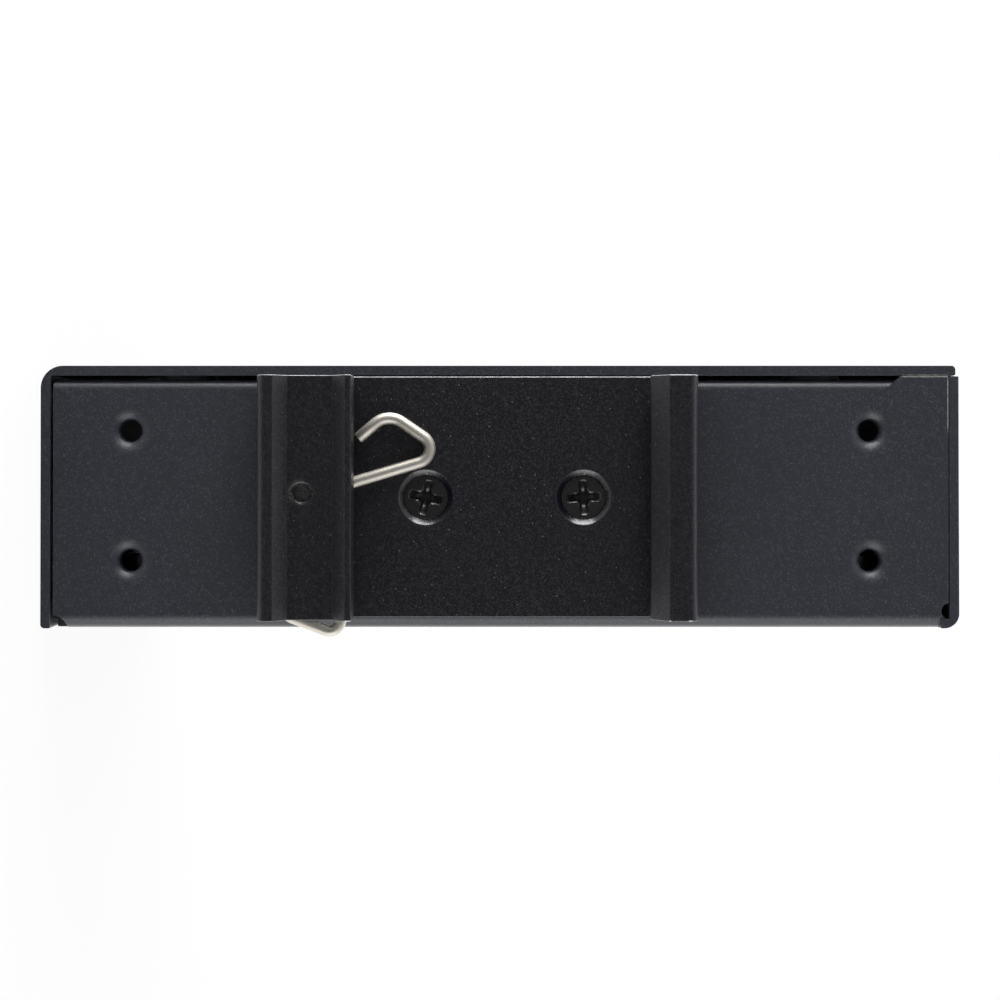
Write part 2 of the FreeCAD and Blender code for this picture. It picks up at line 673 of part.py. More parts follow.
def make_bracket():
    """The extruded rail bracket: fixed hook on top, spring channel with its two beads below."""
    body = new_body("din_bracket")
    roof_in = -mm.channel_gap
    bead = -mm.bead_rise
    roof_out = -mm.roof_rise
    hook_tip = mm.rail_half - mm.hook_grip
    hook_top = hook_tip + mm.hook_lead
    hook_out = hook_top + mm.hook_flat + mm.hook_round
    lip = mm.lip_grip - mm.rail_half
    lip_low = lip - mm.lip_flat
    roof_high = lip_low - mm.bead_slope
    roof_low = roof_high - mm.roof_wide
    bead_high = roof_low - mm.bead_slope
    bracket_low = bead_high - mm.bead_flat - mm.bead_round

    section = new_sketch(body, "YZ_Plane", mm.bracket_aside - mm.bracket_long / 2)
    outline(section, [
        (back, bracket_low), (bead, bracket_low), (bead, bead_high), (roof_out, roof_low),
        (roof_out, roof_high), (bead, lip_low), (bead, lip), (roof_in, lip),
        (roof_in, bracket_low + mm.channel_wall), (0, bracket_low + mm.channel_wall),
        (0, mm.rail_half), (-mm.hook_gap, mm.rail_half), (-mm.hook_gap, hook_tip),
        (-mm.hook_tip, hook_tip), (bead, hook_top), (bead, hook_out), (back, hook_out),
    ])
    pad(body, section, mm.bracket_long)
    fillet(body, mm.bead_round, edges_at(body.Shape, y=bead, z=bracket_low))
    fillet(body, mm.hook_round, edges_at(body.Shape, y=bead, z=hook_out))
    corners = []
    for y, z in ((bead, bead_high), (bead, lip_low), (bead, lip), (-mm.hook_tip, hook_tip), (bead, hook_top)):
        corners += edges_at(body.Shape, y=y, z=z)
    fillet(body, mm.corner_round, corners)

    holes = new_sketch(body, "XZ_Plane", 0)
    for spot in bracket_holes:
        circle(holes, spot, mm.sink_hole)
    pocket(body, holes, mm.plate)
    chamfer(body, mm.sink_flare, rims_at(body.Shape, mm.sink_hole, "y", 0))

    crater = new_sketch(body, "XZ_Plane", -roof_out)
    circle(crater, (mm.stake_x, mm.stake_z), mm.stake_floor)
    pocket(body, crater, mm.stake_depth)
    chamfer(body, mm.stake_flare, rims_at(body.Shape, mm.stake_floor, "y", roof_out))
    bump = new_sketch(body, "XZ_Plane", -roof_in)
    circle(bump, (mm.stake_x, mm.stake_z), mm.stake_bump_round)
    pad(body, bump, mm.stake_bump, reverse=True)
    return keep(body, "din_bracket")


# The spring wire's corners along X and Z with their bend radii: its hook for the rail, its leg into the
# channel, its spine along the channel's wall, and the foot that hooks round the bracket's end.
SPRING_CORNERS = [
    (-6.63, -16.59, 0),
    (-9.48, -13.24, 2.4),
    (-4.89, -6.47, 1.6),
    (0.51, -24.62, 1.45),
    (13.08, -24.66, 1.2),
    (15.40, -18.50, 1.25),
    (11.60, -18.50, 0),
]


def bent_path(corners, depth):
    """Straight runs joined by tangent arcs, in a plane at one depth."""
    points = [FreeCAD.Vector(x, depth, z) for x, z, _ in corners]
    edges = []
    start = points[0]
    for index in range(1, len(points) - 1):
        radius = corners[index][2]
        corner = points[index]
        inward = (points[index - 1] - corner).normalize()
        onward = (points[index + 1] - corner).normalize()
        half_angle = inward.getAngle(onward) / 2
        reach = radius / math.tan(half_angle)
        arc_start = corner + inward * reach
        arc_end = corner + onward * reach
        bisector = (inward + onward).normalize()
        arc_middle = corner + bisector * (radius / math.sin(half_angle) - radius)
        edges.append(Part.LineSegment(start, arc_start).toShape())
        edges.append(Part.Arc(arc_start, arc_middle, arc_end).toShape())
        start = arc_end
    edges.append(Part.LineSegment(start, points[-1]).toShape())
    return Part.Wire(edges)


def make_spring():
    """The bent wire that presses the rail into the fixed hook."""
    depth = -(mm.wire / 2 + mm.wire_lift)
    path = doc.addObject("Part::Feature", "spring_path")
    path.Shape = bent_path(SPRING_CORNERS, depth.value)
    first = path.Shape.Edges[0]
    ring = doc.addObject("Part::Circle", "spring_section")
    bind(ring, "Radius", mm.wire / 2)
    heading = first.tangentAt(first.FirstParameter)
    turn = FreeCAD.Rotation(FreeCAD.Vector(0, 0, 1), heading)
    ring.Placement = FreeCAD.Placement(first.firstVertex().Point, turn)
    sweep = doc.addObject("Part::Sweep", "rail_spring")
    sweep.Sections = [ring]
    sweep.Spine = (path, [f"Edge{n + 1}" for n in range(len(path.Shape.Edges))])
    sweep.Solid = True
    doc.recompute()
    return keep(sweep, "rail_spring")


def cross_recess(body, face, span, depth):
    """A cross-shaped pocket in a screw head."""
    arm = mm.cross_arm / 2
    reach = span / 2
    cross = new_sketch(body, "XY_Plane", face)
    outline(cross, [
        (reach, -arm), (reach, arm), (arm, arm), (arm, reach), (-arm, reach), (-arm, arm),
        (-reach, arm), (-reach, -arm), (-arm, -arm), (-arm, -reach), (arm, -reach), (arm, -arm),
    ])
    pocket(body, cross, depth)


# The cross recess' middle, and a pan head's whole cross, as shares of the flat heads' cross.
HEART_SHARE = 0.6
PAN_CROSS_SHARE = 0.8


def countersunk_screw(name, head, length, spot, rotation):
    """A flat-head cross screw with its head's top at the spot."""
    body = new_body(name)
    section = new_sketch(body, "XZ_Plane")
    outline(section, [
        (0, 0), (head, 0), (mm.shank, mm.shank - head), (mm.shank, -length), (0, -length),
    ])
    revolve(body, section)
    cross_recess(body, 0, mm.cross_span, mm.cross_depth)
    cross_recess(body, 0, mm.cross_span * HEART_SHARE, mm.cross_heart)
    place(body, spot, rotation)
    return body


def pan_screw(name, spot, rotation):
    """A pan-head cross screw with its head's underside at the spot."""
    body = new_body(name)
    section = new_sketch(body, "XZ_Plane")
    outline(section, [
        (0, mm.pan_high), (mm.pan_head, mm.pan_high), (mm.pan_head, 0), (mm.shank, 0),
        (mm.shank, -mm.pan_shank_long), (0, -mm.pan_shank_long),
    ])
    revolve(body, section)
    cross_recess(body, mm.pan_high, mm.cross_span * PAN_CROSS_SHARE, mm.cross_heart)
    place(body, spot, rotation)
    return body


FACING_BACK = FreeCAD.Rotation(FreeCAD.Vector(1, 0, 0), 90)
FACING_COVER = FreeCAD.Rotation(FreeCAD.Vector(0, 1, 0), -90)
# How the crosses of the screws are turned, in degrees: the bracket's two, and from one of the others to the next.
BRACKET_SCREW_TURNS = (-12.5, 3.0)
COVER_SCREW_TURN = 20.0
BOARD_SCREW_TURN = 25.0


def turned(facing, degrees):
    return facing.multiply(FreeCAD.Rotation(FreeCAD.Vector(0, 0, 1), degrees))


def make_screws():
    """The bracket's, the cover's and the board's screws."""
    bracket = []
    for number, (spot, turn) in enumerate(zip(bracket_holes, BRACKET_SCREW_TURNS)):
        where = (spot[0], mm.sunk, spot[1])
        rotation = turned(FACING_BACK, turn)
        bracket.append(countersunk_screw(
            f"bracket_screw_{number}", mm.bracket_head, mm.bracket_shank_long, where, rotation))
    group("bracket_screws", bracket)
    cover = []
    for number, (y, z) in enumerate(cover_holes):
        where = (mm.cover_sunk - side, y, z)
        rotation = turned(FACING_COVER, COVER_SCREW_TURN * number)
        cover.append(countersunk_screw(
            f"cover_screw_{number}", mm.cover_head, mm.cover_shank_long, where, rotation))
    group("cover_screws", cover)
    board = []
    for number, (y, z) in enumerate(standoff_spots):
        rotation = turned(FACING_COVER, BOARD_SCREW_TURN * number)
        board.append(pan_screw(f"pcb_screw_{number}", (board_face, y, z), rotation))
    group("pcb_screws", board)


def make_standoffs():
    """Standoffs with hexagonal heads pressed flush into the chassis."""
    made = []
    for number, (y, z) in enumerate(standoff_spots):
        body = new_body(f"standoff_{number}")
        head = new_sketch(body, "YZ_Plane", side - mm.sheet)
        hexagon(head, (y, z), mm.standoff_hex)
        pad(body, head, mm.sheet)
        post = new_sketch(body, "YZ_Plane", board_under)
        circle(post, (y, z), mm.standoff_round)
        pad(body, post, mm.standoff)
        bore = new_sketch(body, "YZ_Plane", board_under)
        circle(bore, (y, z), mm.tapped)
        pocket(body, bore, mm.standoff, reverse=True)
        made.append(body)
    group("pcb_standoffs", made)


def make_board():
    """The circuit board with its four screw holes."""
    body = new_body("pcb")
    sheet = new_sketch(body, "YZ_Plane", board_face)
    rectangle(sheet, (board_rear, board_low), (board_fore, board_high))
    for spot in standoff_spots:
        circle(sheet, spot, mm.board_hole)
    pad(body, sheet, mm.board)
    return keep(body, "pcb")


# Contacts in one jack.
CONTACTS = 8


def make_jack(use, mid):
    """One eight-way jack: shield, insert with the plug's hole, and contacts."""
    half = mm.jack_wide / 2
    roof = board_face - mm.jack_high
    skin = mm.jack_skin
    inner_low = (roof + skin, mid - half + skin)
    inner_high = (board_face - skin, mid + half - skin)

    shield = new_body(f"{use}_jack_shield")
    can = new_sketch(shield, "XZ_Plane", -jack_face)
    rectangle(can, (roof, mid - half), (board_face, mid + half))
    pad(shield, can, mm.jack_deep)
    hollow = new_sketch(shield, "XZ_Plane", -jack_face)
    rectangle(hollow, inner_low, inner_high)
    pocket(shield, hollow, mm.jack_deep - skin, reverse=True)
    keep(shield, f"{use}_jack_shield")

    insert = new_body(f"{use}_jack_insert")
    block = new_sketch(insert, "XZ_Plane", -jack_face)
    rectangle(block, inner_low, inner_high)
    pad(insert, block, mm.jack_deep - skin)
    floor = board_face - mm.plug_floor
    ceiling = floor - mm.plug_high
    step = floor + mm.latch_high
    slot = step + mm.latch_slot_high
    plug = mm.plug_wide / 2
    latch = mm.latch_wide / 2
    narrow = mm.latch_slot_wide / 2
    hole = new_sketch(insert, "XZ_Plane", -jack_face)
    outline(hole, [
        (ceiling, mid - plug), (floor, mid - plug), (floor, mid - latch), (step, mid - latch),
        (step, mid - narrow), (slot, mid - narrow), (slot, mid + narrow), (step, mid + narrow),
        (step, mid + latch), (floor, mid + latch), (floor, mid + plug), (ceiling, mid + plug),
    ])
    pocket(insert, hole, mm.plug_deep, reverse=True)
    keep(insert, f"{use}_jack_insert")

    contacts = new_body(f"{use}_jack_contacts")
    span = mm.contact_pitch * (CONTACTS - 1)
    strip = new_sketch(contacts, "XY_Plane", mid - span / 2 - mm.contact_wide / 2)
    start = jack_face - mm.contact_front
    end = start - mm.contact_run
    outline(strip, [
        (ceiling, start), (ceiling, start - mm.contact_root),
        (ceiling + mm.contact_drop, end),
        (ceiling + mm.contact_drop + mm.contact_thick, end + mm.contact_thick),
    ])
    wire = pad(contacts, strip, mm.contact_wide)
    repeat(contacts, [wire], strip, "N_Axis", span, CONTACTS)
    keep(contacts, f"{use}_jack_contacts")


def make_power_socket():
    """The two-way socket for the plug that takes the power out, with its pins."""
    half = mm.header_wide / 2
    wall = mm.header_wall
    roof = board_face - mm.header_high
    header = new_body("dc_out_header")
    block = new_sketch(header, "XY_Plane", header_face)
    rectangle(block, (roof, mm.header_mid - half), (board_face, mm.header_mid + half))
    pad(header, block, mm.header_deep, reverse=True)
    hollow = new_sketch(header, "XY_Plane", header_face)
    rectangle(
        hollow, (roof + wall, mm.header_mid - half + wall), (board_face - wall, mm.header_mid + half - wall))
    pocket(header, hollow, mm.header_deep - mm.header_floor)
    keep(header, "dc_out_header")

    pins = new_body("dc_out_pins")
    ends = new_sketch(pins, "XY_Plane", header_face - mm.header_deep + mm.header_floor)
    axis = board_face - mm.pin_lift
    thick = mm.pin_side / 2
    for mid in (mm.header_mid - mm.pin_pitch / 2, mm.header_mid + mm.pin_pitch / 2):
        rectangle(ends, (axis - thick, mid - thick), (axis + thick, mid + thick))
    pad(pins, ends, mm.pin_long)
    keep(pins, "dc_out_pins")


def make_indicators():
    """Three lamps on the board's front edge and the light pipes that carry their light to the front."""
    lamps = new_body("led_lamps")
    blocks = new_sketch(lamps, "XZ_Plane", -board_fore)
    lenses = new_sketch(lamps, "XZ_Plane", -board_fore)
    for mid in led_spots:
        low = (board_face - mm.led_high, mid - mm.led_wide / 2)
        rectangle(blocks, low, (board_face, mid + mm.led_wide / 2))
        half_lens = mm.led_lens / 2
        rectangle(lenses, (led_axis - half_lens, mid - half_lens), (led_axis + half_lens, mid + half_lens))
    pad(lamps, blocks, mm.led_deep)
    pad(lamps, lenses, mm.led_lens_long, reverse=True)
    keep(lamps, "led_lamps")

    pipes = new_body("light_pipes")
    shafts = new_sketch(pipes, "XZ_Plane", -(front + mm.pipe_proud))
    for mid in led_spots:
        circle(shafts, (led_axis, mid), mm.pipe_round)
    pad(pipes, shafts, mm.pipe_proud + mm.sheet + mm.pipe_behind)
    chamfer(pipes, mm.pipe_rim, rims_at(pipes.Shape, mm.pipe_round, "y", front + mm.pipe_proud))
    keep(pipes, "light_pipes")


def leaded_part(name):
    """A moulded part with flat leads along its two long sides."""
    y, z, deep, long, high, _, pitch, lead_wide = [getattr(mm, f"{name}_{word}") for word in LEADED_MEASURES]
    leads = LEADED_PARTS[name][LEADED_MEASURES.index("leads")]
    body = new_body(name)
    block = new_sketch(body, "YZ_Plane", board_face - high)
    rectangle(block, (y - deep / 2, z - long / 2), (y + deep / 2, z + long / 2))
    pad(body, block, high - mm.seat_gap)
    span = pitch * (leads - 1)
    first = z - span / 2
    strips = new_sketch(body, "YZ_Plane", board_face - mm.lead_thick)
    tip = deep / 2 + mm.lead_reach
    root = deep / 2 - mm.lead_thick
    for inner, outer in ((y - tip, y - root), (y + root, y + tip)):
        rectangle(strips, (inner, first - lead_wide / 2), (outer, first + lead_wide / 2))
    wire = pad(body, strips, mm.lead_thick)
    if leads > 1:
        repeat(body, [wire], strips, "V_Axis", span, leads)
    return body


def make_leaded_parts():
    """The data transformers, the bridges and the chips."""
    for node in ("line_transformers", "bridge_rectifiers"):
        group(node, [leaded_part(name) for name in LEADED_PARTS if name.startswith(node)])
    for node in ("surge_suppressor", "pd_controller", "optocoupler"):
        keep(leaded_part(node), node)


def make_power_packages():
    """The switch and the rectifier, each with its soldered tab and two leads."""
    for name in POWER_PACKAGES:
        y = getattr(mm, f"{name}_y")
        z = getattr(mm, f"{name}_z")
        half_deep = mm.package_deep / 2
        half_long = mm.package_long / 2
        body = new_body(name)
        block = new_sketch(body, "YZ_Plane", board_face - mm.package_high)
        rectangle(block, (y - half_deep, z - half_long), (y + half_deep, z + half_long))
        pad(body, block, mm.package_high)
        metal = new_sketch(body, "YZ_Plane", board_face - mm.package_tab_thick)
        half_tab = mm.package_tab_deep / 2
        rectangle(metal, (y - half_tab, z + half_long), (y + half_tab, z + half_long + mm.package_tab_long))
        half_lead = mm.package_lead_wide / 2
        for mid in (y - mm.package_lead_pitch / 2, y + mm.package_lead_pitch / 2):
            low = (mid - half_lead, z - half_long - mm.package_lead_long)
            rectangle(metal, low, (mid + half_lead, z - half_long))
        pad(body, metal, mm.package_tab_thick)
        keep(body, name)


def capacitor(name, y, z, radius, high):
    """An upright electrolytic can with its crimped rim."""
    body = new_body(name)
    section = new_sketch(body, "XZ_Plane")
    outline(section, [
        (0, 0), (radius, 0), (radius, high - mm.can_rim), (radius - mm.can_rim, high), (0, high),
    ])
    revolve(body, section)
    place(body, (board_face, y, z), FACING_COVER)
    return body


def make_capacitors():
    """The input's and the output's pairs of electrolytic capacitors."""
    for node in CAPACITORS:
        y, z, step_y, step_z, radius, high = [getattr(mm, f"{node}_{word}") for word in CAPACITOR_MEASURES]
        first = capacitor(f"{node}_first", y, z, radius, high)
        second = capacitor(f"{node}_second", y + step_y, z + step_z, radius, high)
        group(node, [first, second])


def make_transformer():
    """The isolating transformer: a pair of E cores as one ring with a middle leg, bobbin and winding."""
    axis = board_face - mm.core_lift - mm.core_high / 2
    half_leg = mm.core_leg / 2
    window_out = half_leg + mm.core_window
    half_window = mm.core_window_long / 2
    half_deep = mm.core_deep / 2

    core = new_body("transformer_core")
    ring = new_sketch(core, "XZ_Plane", -(mm.core_y + half_deep))
    rectangle(
        ring, (axis - mm.core_high / 2, mm.core_z - mm.core_long / 2),
        (axis + mm.core_high / 2, mm.core_z + mm.core_long / 2))
    for inner, outer in ((axis - window_out, axis - half_leg), (axis + half_leg, axis + window_out)):
        rectangle(ring, (inner, mm.core_z - half_window), (outer, mm.core_z + half_window))
    pad(core, ring, mm.core_deep)
    keep(core, "transformer_core")

    bore_x = half_leg + mm.bobbin_clear
    bore_y = half_deep + mm.bobbin_clear
    tube_x = bore_x + mm.bobbin_wall
    tube_y = bore_y + mm.bobbin_wall
    flange_x = window_out - mm.bobbin_window_gap
    low = mm.core_z - half_window + mm.bobbin_end_gap
    high = mm.core_z + half_window - mm.bobbin_end_gap

    def square(sketch, reach_x, reach_y):
        rectangle(sketch, (axis - reach_x, mm.core_y - reach_y), (axis + reach_x, mm.core_y + reach_y))

    bobbin = new_body("transformer_bobbin")
    tube = new_sketch(bobbin, "XY_Plane", low)
    square(tube, tube_x, tube_y)
    square(tube, bore_x, bore_y)
    pad(bobbin, tube, high - low)
    reach = mm.bobbin_reach
    foot = mm.bobbin_foot_in
    for start in (low, high - mm.bobbin_flange):
        flange = new_sketch(bobbin, "XY_Plane", start)
        outline(flange, [
            (axis - flange_x, mm.core_y - reach), (board_face, mm.core_y - reach),
            (board_face, mm.core_y - foot), (axis + flange_x, mm.core_y - foot),
            (axis + flange_x, mm.core_y + foot), (board_face, mm.core_y + foot),
            (board_face, mm.core_y + reach), (axis - flange_x, mm.core_y + reach),
        ])
        square(flange, bore_x, bore_y)
        pad(bobbin, flange, mm.bobbin_flange)
    keep(bobbin, "transformer_bobbin")

    winding = new_body("transformer_winding")
    turns = new_sketch(winding, "XY_Plane", low + mm.bobbin_flange)
    out_x = flange_x - mm.winding_short
    out_y = reach - mm.winding_short
    corner = mm.winding_round
    outline(turns, [
        (axis - out_x, mm.core_y - out_y, corner), (axis + out_x, mm.core_y - out_y, corner),
        (axis + out_x, mm.core_y + out_y, corner), (axis - out_x, mm.core_y + out_y, corner),
    ])
    square(turns, tube_x, tube_y)
    pad(winding, turns, high - low - mm.bobbin_flange * 2)
    keep(winding, "transformer_winding")


def make_choke():
    """The output choke, a square block with cut corners."""
    body = new_body("output_inductor")
    half = mm.choke_side / 2
    low = (mm.choke_y - half, mm.choke_z - half)
    high = (mm.choke_y + half, mm.choke_z + half)
    block = new_sketch(body, "YZ_Plane", board_face - mm.choke_high)
    rectangle(block, low, high)
    pad(body, block, mm.choke_high)
    uprights = []
    for y in (low[0], high[0]):
        for z in (low[1], high[1]):
            uprights += edges_at(body.Shape, y=y, z=z)
    chamfer(body, mm.choke_corner, uprights)
    keep(body, "output_inductor")


def main():
    make_chassis()
    make_cover()
    make_bracket()
    make_spring()
    make_screws()
    make_standoffs()
    make_board()
    for use, mid in jack_middles.items():
        make_jack(use, mid)
    make_power_socket()
    make_indicators()
    make_leaded_parts()
    make_power_packages()
    make_capacitors()
    make_transformer()
    make_choke()
    doc.recompute()
    for thing in doc.Objects:
        if "Invalid" in thing.State or "Error" in thing.State:
            raise RuntimeError(f"{thing.Label} is {thing.State}")
    for piece in pieces:
        if piece.Shape.isNull() or not piece.Shape.isValid():
            raise RuntimeError(f"{piece.Label} has no valid shape")
    os.makedirs("parts", exist_ok=True)
    for piece in pieces:
        piece.Shape.exportStep(f"parts/{piece.Label}.step")
        print(piece.Label, round(piece.Shape.Volume, 1), len(piece.Shape.Solids))


main()
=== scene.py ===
"""Looks of a rail-mounted splitter: one network cable brings power and data in, and the two leave apart.

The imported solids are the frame, in metres: the origin is the middle of the rail seat, +Y runs from the rail
to the sockets, +Z is up and +X faces the chassis' large side. The folded case, the rail bracket, its spring
and the screws are made again with broken edges, flared holes and bare metal. The other pieces keep their
solids and get their finishes here.
"""

import json
import math

import bmesh
import bpy
from bpy.props import FloatProperty, FloatVectorProperty, PointerProperty
from bpy.types import Node, NodeSocket, Operator, Panel, PropertyGroup
from mathutils import Matrix, Vector


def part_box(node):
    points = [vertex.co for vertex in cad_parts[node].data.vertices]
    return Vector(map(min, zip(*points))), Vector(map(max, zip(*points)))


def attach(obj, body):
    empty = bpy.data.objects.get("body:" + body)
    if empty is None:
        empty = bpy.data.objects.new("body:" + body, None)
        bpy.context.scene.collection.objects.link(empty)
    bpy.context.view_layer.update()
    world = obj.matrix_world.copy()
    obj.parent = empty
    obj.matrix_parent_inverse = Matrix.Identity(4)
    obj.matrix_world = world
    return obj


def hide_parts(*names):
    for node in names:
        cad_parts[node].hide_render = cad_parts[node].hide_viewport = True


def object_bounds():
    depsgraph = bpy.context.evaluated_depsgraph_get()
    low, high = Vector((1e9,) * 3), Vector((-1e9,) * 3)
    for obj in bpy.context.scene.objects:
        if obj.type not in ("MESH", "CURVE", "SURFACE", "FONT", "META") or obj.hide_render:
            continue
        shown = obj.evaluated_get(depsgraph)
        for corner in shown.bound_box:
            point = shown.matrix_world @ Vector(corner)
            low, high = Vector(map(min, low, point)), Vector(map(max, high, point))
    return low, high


bl_info = {
    "name": "Rail splitter",
    "version": (1, 0, 0),
    "blender": (4, 5, 0),
    "location": "3D View > Sidebar > Splitter",
    "description": "Dresses the solids of a power and data splitter that clips on a 35 mm rail",
    "category": "Object",
}

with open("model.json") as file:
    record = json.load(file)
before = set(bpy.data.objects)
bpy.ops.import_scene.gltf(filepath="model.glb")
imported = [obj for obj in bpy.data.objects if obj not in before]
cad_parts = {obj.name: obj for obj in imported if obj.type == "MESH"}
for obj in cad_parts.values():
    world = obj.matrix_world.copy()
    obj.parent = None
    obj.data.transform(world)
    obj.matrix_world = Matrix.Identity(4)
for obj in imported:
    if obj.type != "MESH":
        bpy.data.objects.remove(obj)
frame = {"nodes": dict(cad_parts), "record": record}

MM = 0.001
BODY = "root"
NODES = frame["nodes"]
CAD_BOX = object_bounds()
MOUNTS = {mount["name"]: mount for mount in frame["record"]["mounts"]}

# Points this near are one, and faces this flat are one.
WELD = 1e-6
FLAT = math.radians(0.4)
# Edges over the first angle may be rounded. Rounding leaves steps under the second, and edges over that one
# stay crisp.
SHARP = math.radians(35)
CREASED = math.radians(50)
TURN_STEPS = 72
# Where the bracket's stake is, and the middle of the scuff and the painted light round it, as x and z in mm.
STAKE = (-0.58, -22.58)
SCUFF_AND_PAINTED_LIGHT = (-0.68, -22.68)
# How far the bracket's beads stand over the roof between them.
BEAD_OVER_ROOF = 1.5 * MM
SPRING_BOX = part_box("rail_spring")
# Streaks that the drawing die leaves round the wire.
STREAKS_ROUND_WIRE = 40


def linear(code):
    """Linear colour of an sRGB hex value."""
    shares = [int(code[start:start + 2], 16) / 255 for start in (1, 3, 5)]
    return tuple(
        share / 12.92 if share <= 0.04045 else ((share + 0.055) / 1.055) ** 2.4 for share in shares
    )


def colour(name, description, code):
    """A colour that a user may change."""
    return FloatVectorProperty(
        name=name, description=description, subtype="COLOR", size=3, min=0, max=1, default=linear(code)
    )


def length(name, description, size):
    """A length that a user may change; size is in millimetres."""
    return FloatProperty(
        name=name, description=description, unit="LENGTH", min=0, precision=5, default=size * MM
    )


def level(name, description, value, unit="NONE"):
    """A number that a user may change, in one of Blender's units."""
    return FloatProperty(name=name, description=description, unit=unit, default=value)


class CaseLook(PropertyGroup):
    """The folded chassis and cover."""

    coat: colour("Coat", "Powder coat of the sheet", "#262930")
    # The colour below is painted glint: single grains painted paler, standing in for light that they catch.
    painted_glint: colour("Glint", "Grains of the coat that catch the light", "#4b4e56")
    # The colour below is painted highlight: thin pale lines on the tab's edges, standing in for light that
    # the edges catch.
    pale_marks_and_painted_light: colour("Worn edge", "Edges of the tab where the coat has been rubbed", "#a4a29c")
    grain: length("Grain", "Width of one baked grain of the coat", 0.11)
    relief: length("Relief", "Height of the coat's grain", 0.024)
    cloud: length("Cloud", "Width of the coat's thicker and thinner patches", 11.0)
    edge: length("Edge", "Radius that the coat leaves on a cut edge", 0.14)
    straight: length("Straight edge", "Shorter bits of edge are parts of a curve and stay as they are", 0.6)
    mouth: length("Hole mouth", "Radius of the drawn-in mouth of a screw hole", 2.85)
    bore: length("Hole bore", "Radius where a screw hole's mouth meets its thread", 1.27)


class BracketLook(PropertyGroup):
    """The extruded rail bracket."""

    film: colour("Film", "Dyed anodic film", "#0a0a14")
    bare: colour("Bare metal", "Aluminium where the saw went through the film", "#b9babd")
    dust: colour("Dust", "Lint and dust on the film", "#8d8b86")
    edge: length("Edge", "Width of the break on an edge", 0.13)
    die_line: length("Die line", "Width of the lines that the die leaves along the bar", 0.12)
    die_run: length("Die run", "Length over which a die line fades", 25.0)
    grain: length("Grain", "Width of the etched grain under the film", 0.13)
    dust_gap: length("Dust spacing", "Spacing of the dust specks", 0.62)
    saw_mark: length("Saw mark", "Width of the marks of the saw", 0.25)
    saw_run: length("Saw run", "Length of the marks of the saw", 2.2)
    stake: length("Stake", "Radius of the dent round the punched stake", 1.5)
    stake_depth: length("Stake depth", "Depth of the punched stake", 0.95)


class SpringLook(PropertyGroup):
    """The bent wire that holds the rail."""

    plating: colour("Plating", "Nickel on the drawn wire", "#c9c5bc")
    diameter: length("Wire", "Diameter of the wire", (SPRING_BOX[1] - SPRING_BOX[0]).y / MM)
    draw_run: length("Draw mark", "Length of the marks of the drawing die", 4.0)
    burr: length("End break", "Break on the cut ends", 0.09)


class ScrewLook(PropertyGroup):
    """The black screws of the bracket and the cover."""

    oxide: colour("Oxide", "Black oxide on the screw steel", "#1e1c1d")
    pit: length("Pit", "Width of the pits in the pressed head", 0.16)
    edge: length("Edge", "Radius on the head's edge", 0.10)
    shank: length("Shank", "Radius of the shank", 1.2)
    bracket_head: length("Bracket head", "Radius of a bracket screw's head", 2.47)
    cover_head: length("Cover head", "Radius of a cover screw's head", 2.6)
    reach: length("Recess reach", "From the axis to the tip of a wing of the cross recess", 1.82)
    wing: length("Recess wing", "Width of a wing of the cross recess", 0.86)
    depth: length("Recess depth", "Depth of the cross recess", 1.25)


class SocketLook(PropertyGroup):
    """The two jacks and the power socket."""

    tin: colour("Tin", "Tinned sheet of the shields and pins", "#cfcdc6")
    insulator: colour("Insulator", "Moulding inside the jacks", "#17171a")
    gold: colour("Gold", "Plating of the contacts", "#dcae57")
    green: colour("Green", "Moulding of the power socket", "#1d6b3a")
    edge: length("Edge", "Radius on moulded and pressed edges", 0.12)
    sparks: length("Spark texture", "Width of the texture that the eroded mould leaves", 0.12)
    spangle: length("Spangle", "Width of the tin's cloudy patches", 1.4)


class IndicatorLook(PropertyGroup):
    """The lamps and their light pipes."""

    pipe: colour("Pipe", "Clear plastic of the light pipes", "#f2f5f5")
    lens: colour("Lens", "Cast epoxy of the lamps", "#dfe3da")
    flow: length("Flow line", "Width of the flow lines in the clear plastic", 1.2)


class BoardLook(PropertyGroup):
    """The circuit board and what it carries."""

    mask: colour("Solder mask", "Lacquer on the board", "#1b5a34")
    track: colour("Track", "Lacquer over copper", "#2a7546")
    moulding: colour("Moulding", "Epoxy of the chip packages", "#26262a")
    sleeve: colour("Sleeve", "Shrunk sleeve of the capacitors", "#23242f")
    ferrite: colour("Ferrite", "Fired ferrite", "#3a3a3d")
    bobbin: colour("Bobbin", "Moulding of the transformer's bobbin", "#35312c")
    tape: colour("Tape", "Polyester tape round the winding", "#d3a63a")
    zinc: colour("Zinc", "Plating of the standoffs and their screws", "#a9abae")
    thread: length("Glass thread", "Width of the laminate's glass threads", 0.45)
    track_gap: length("Track spacing", "Spacing of the copper tracks", 1.3)
    filler: length("Filler", "Width of the filler grains in moulded epoxy", 0.10)
    turn: length("Tape turn", "Width of one turn of tape", 2.4)
    cloud: length("Cloud", "Width of the zinc's cloudy patches", 0.8)
    ripple: length("Ripple", "Width of the ripples in the shrunk sleeve", 1.5)


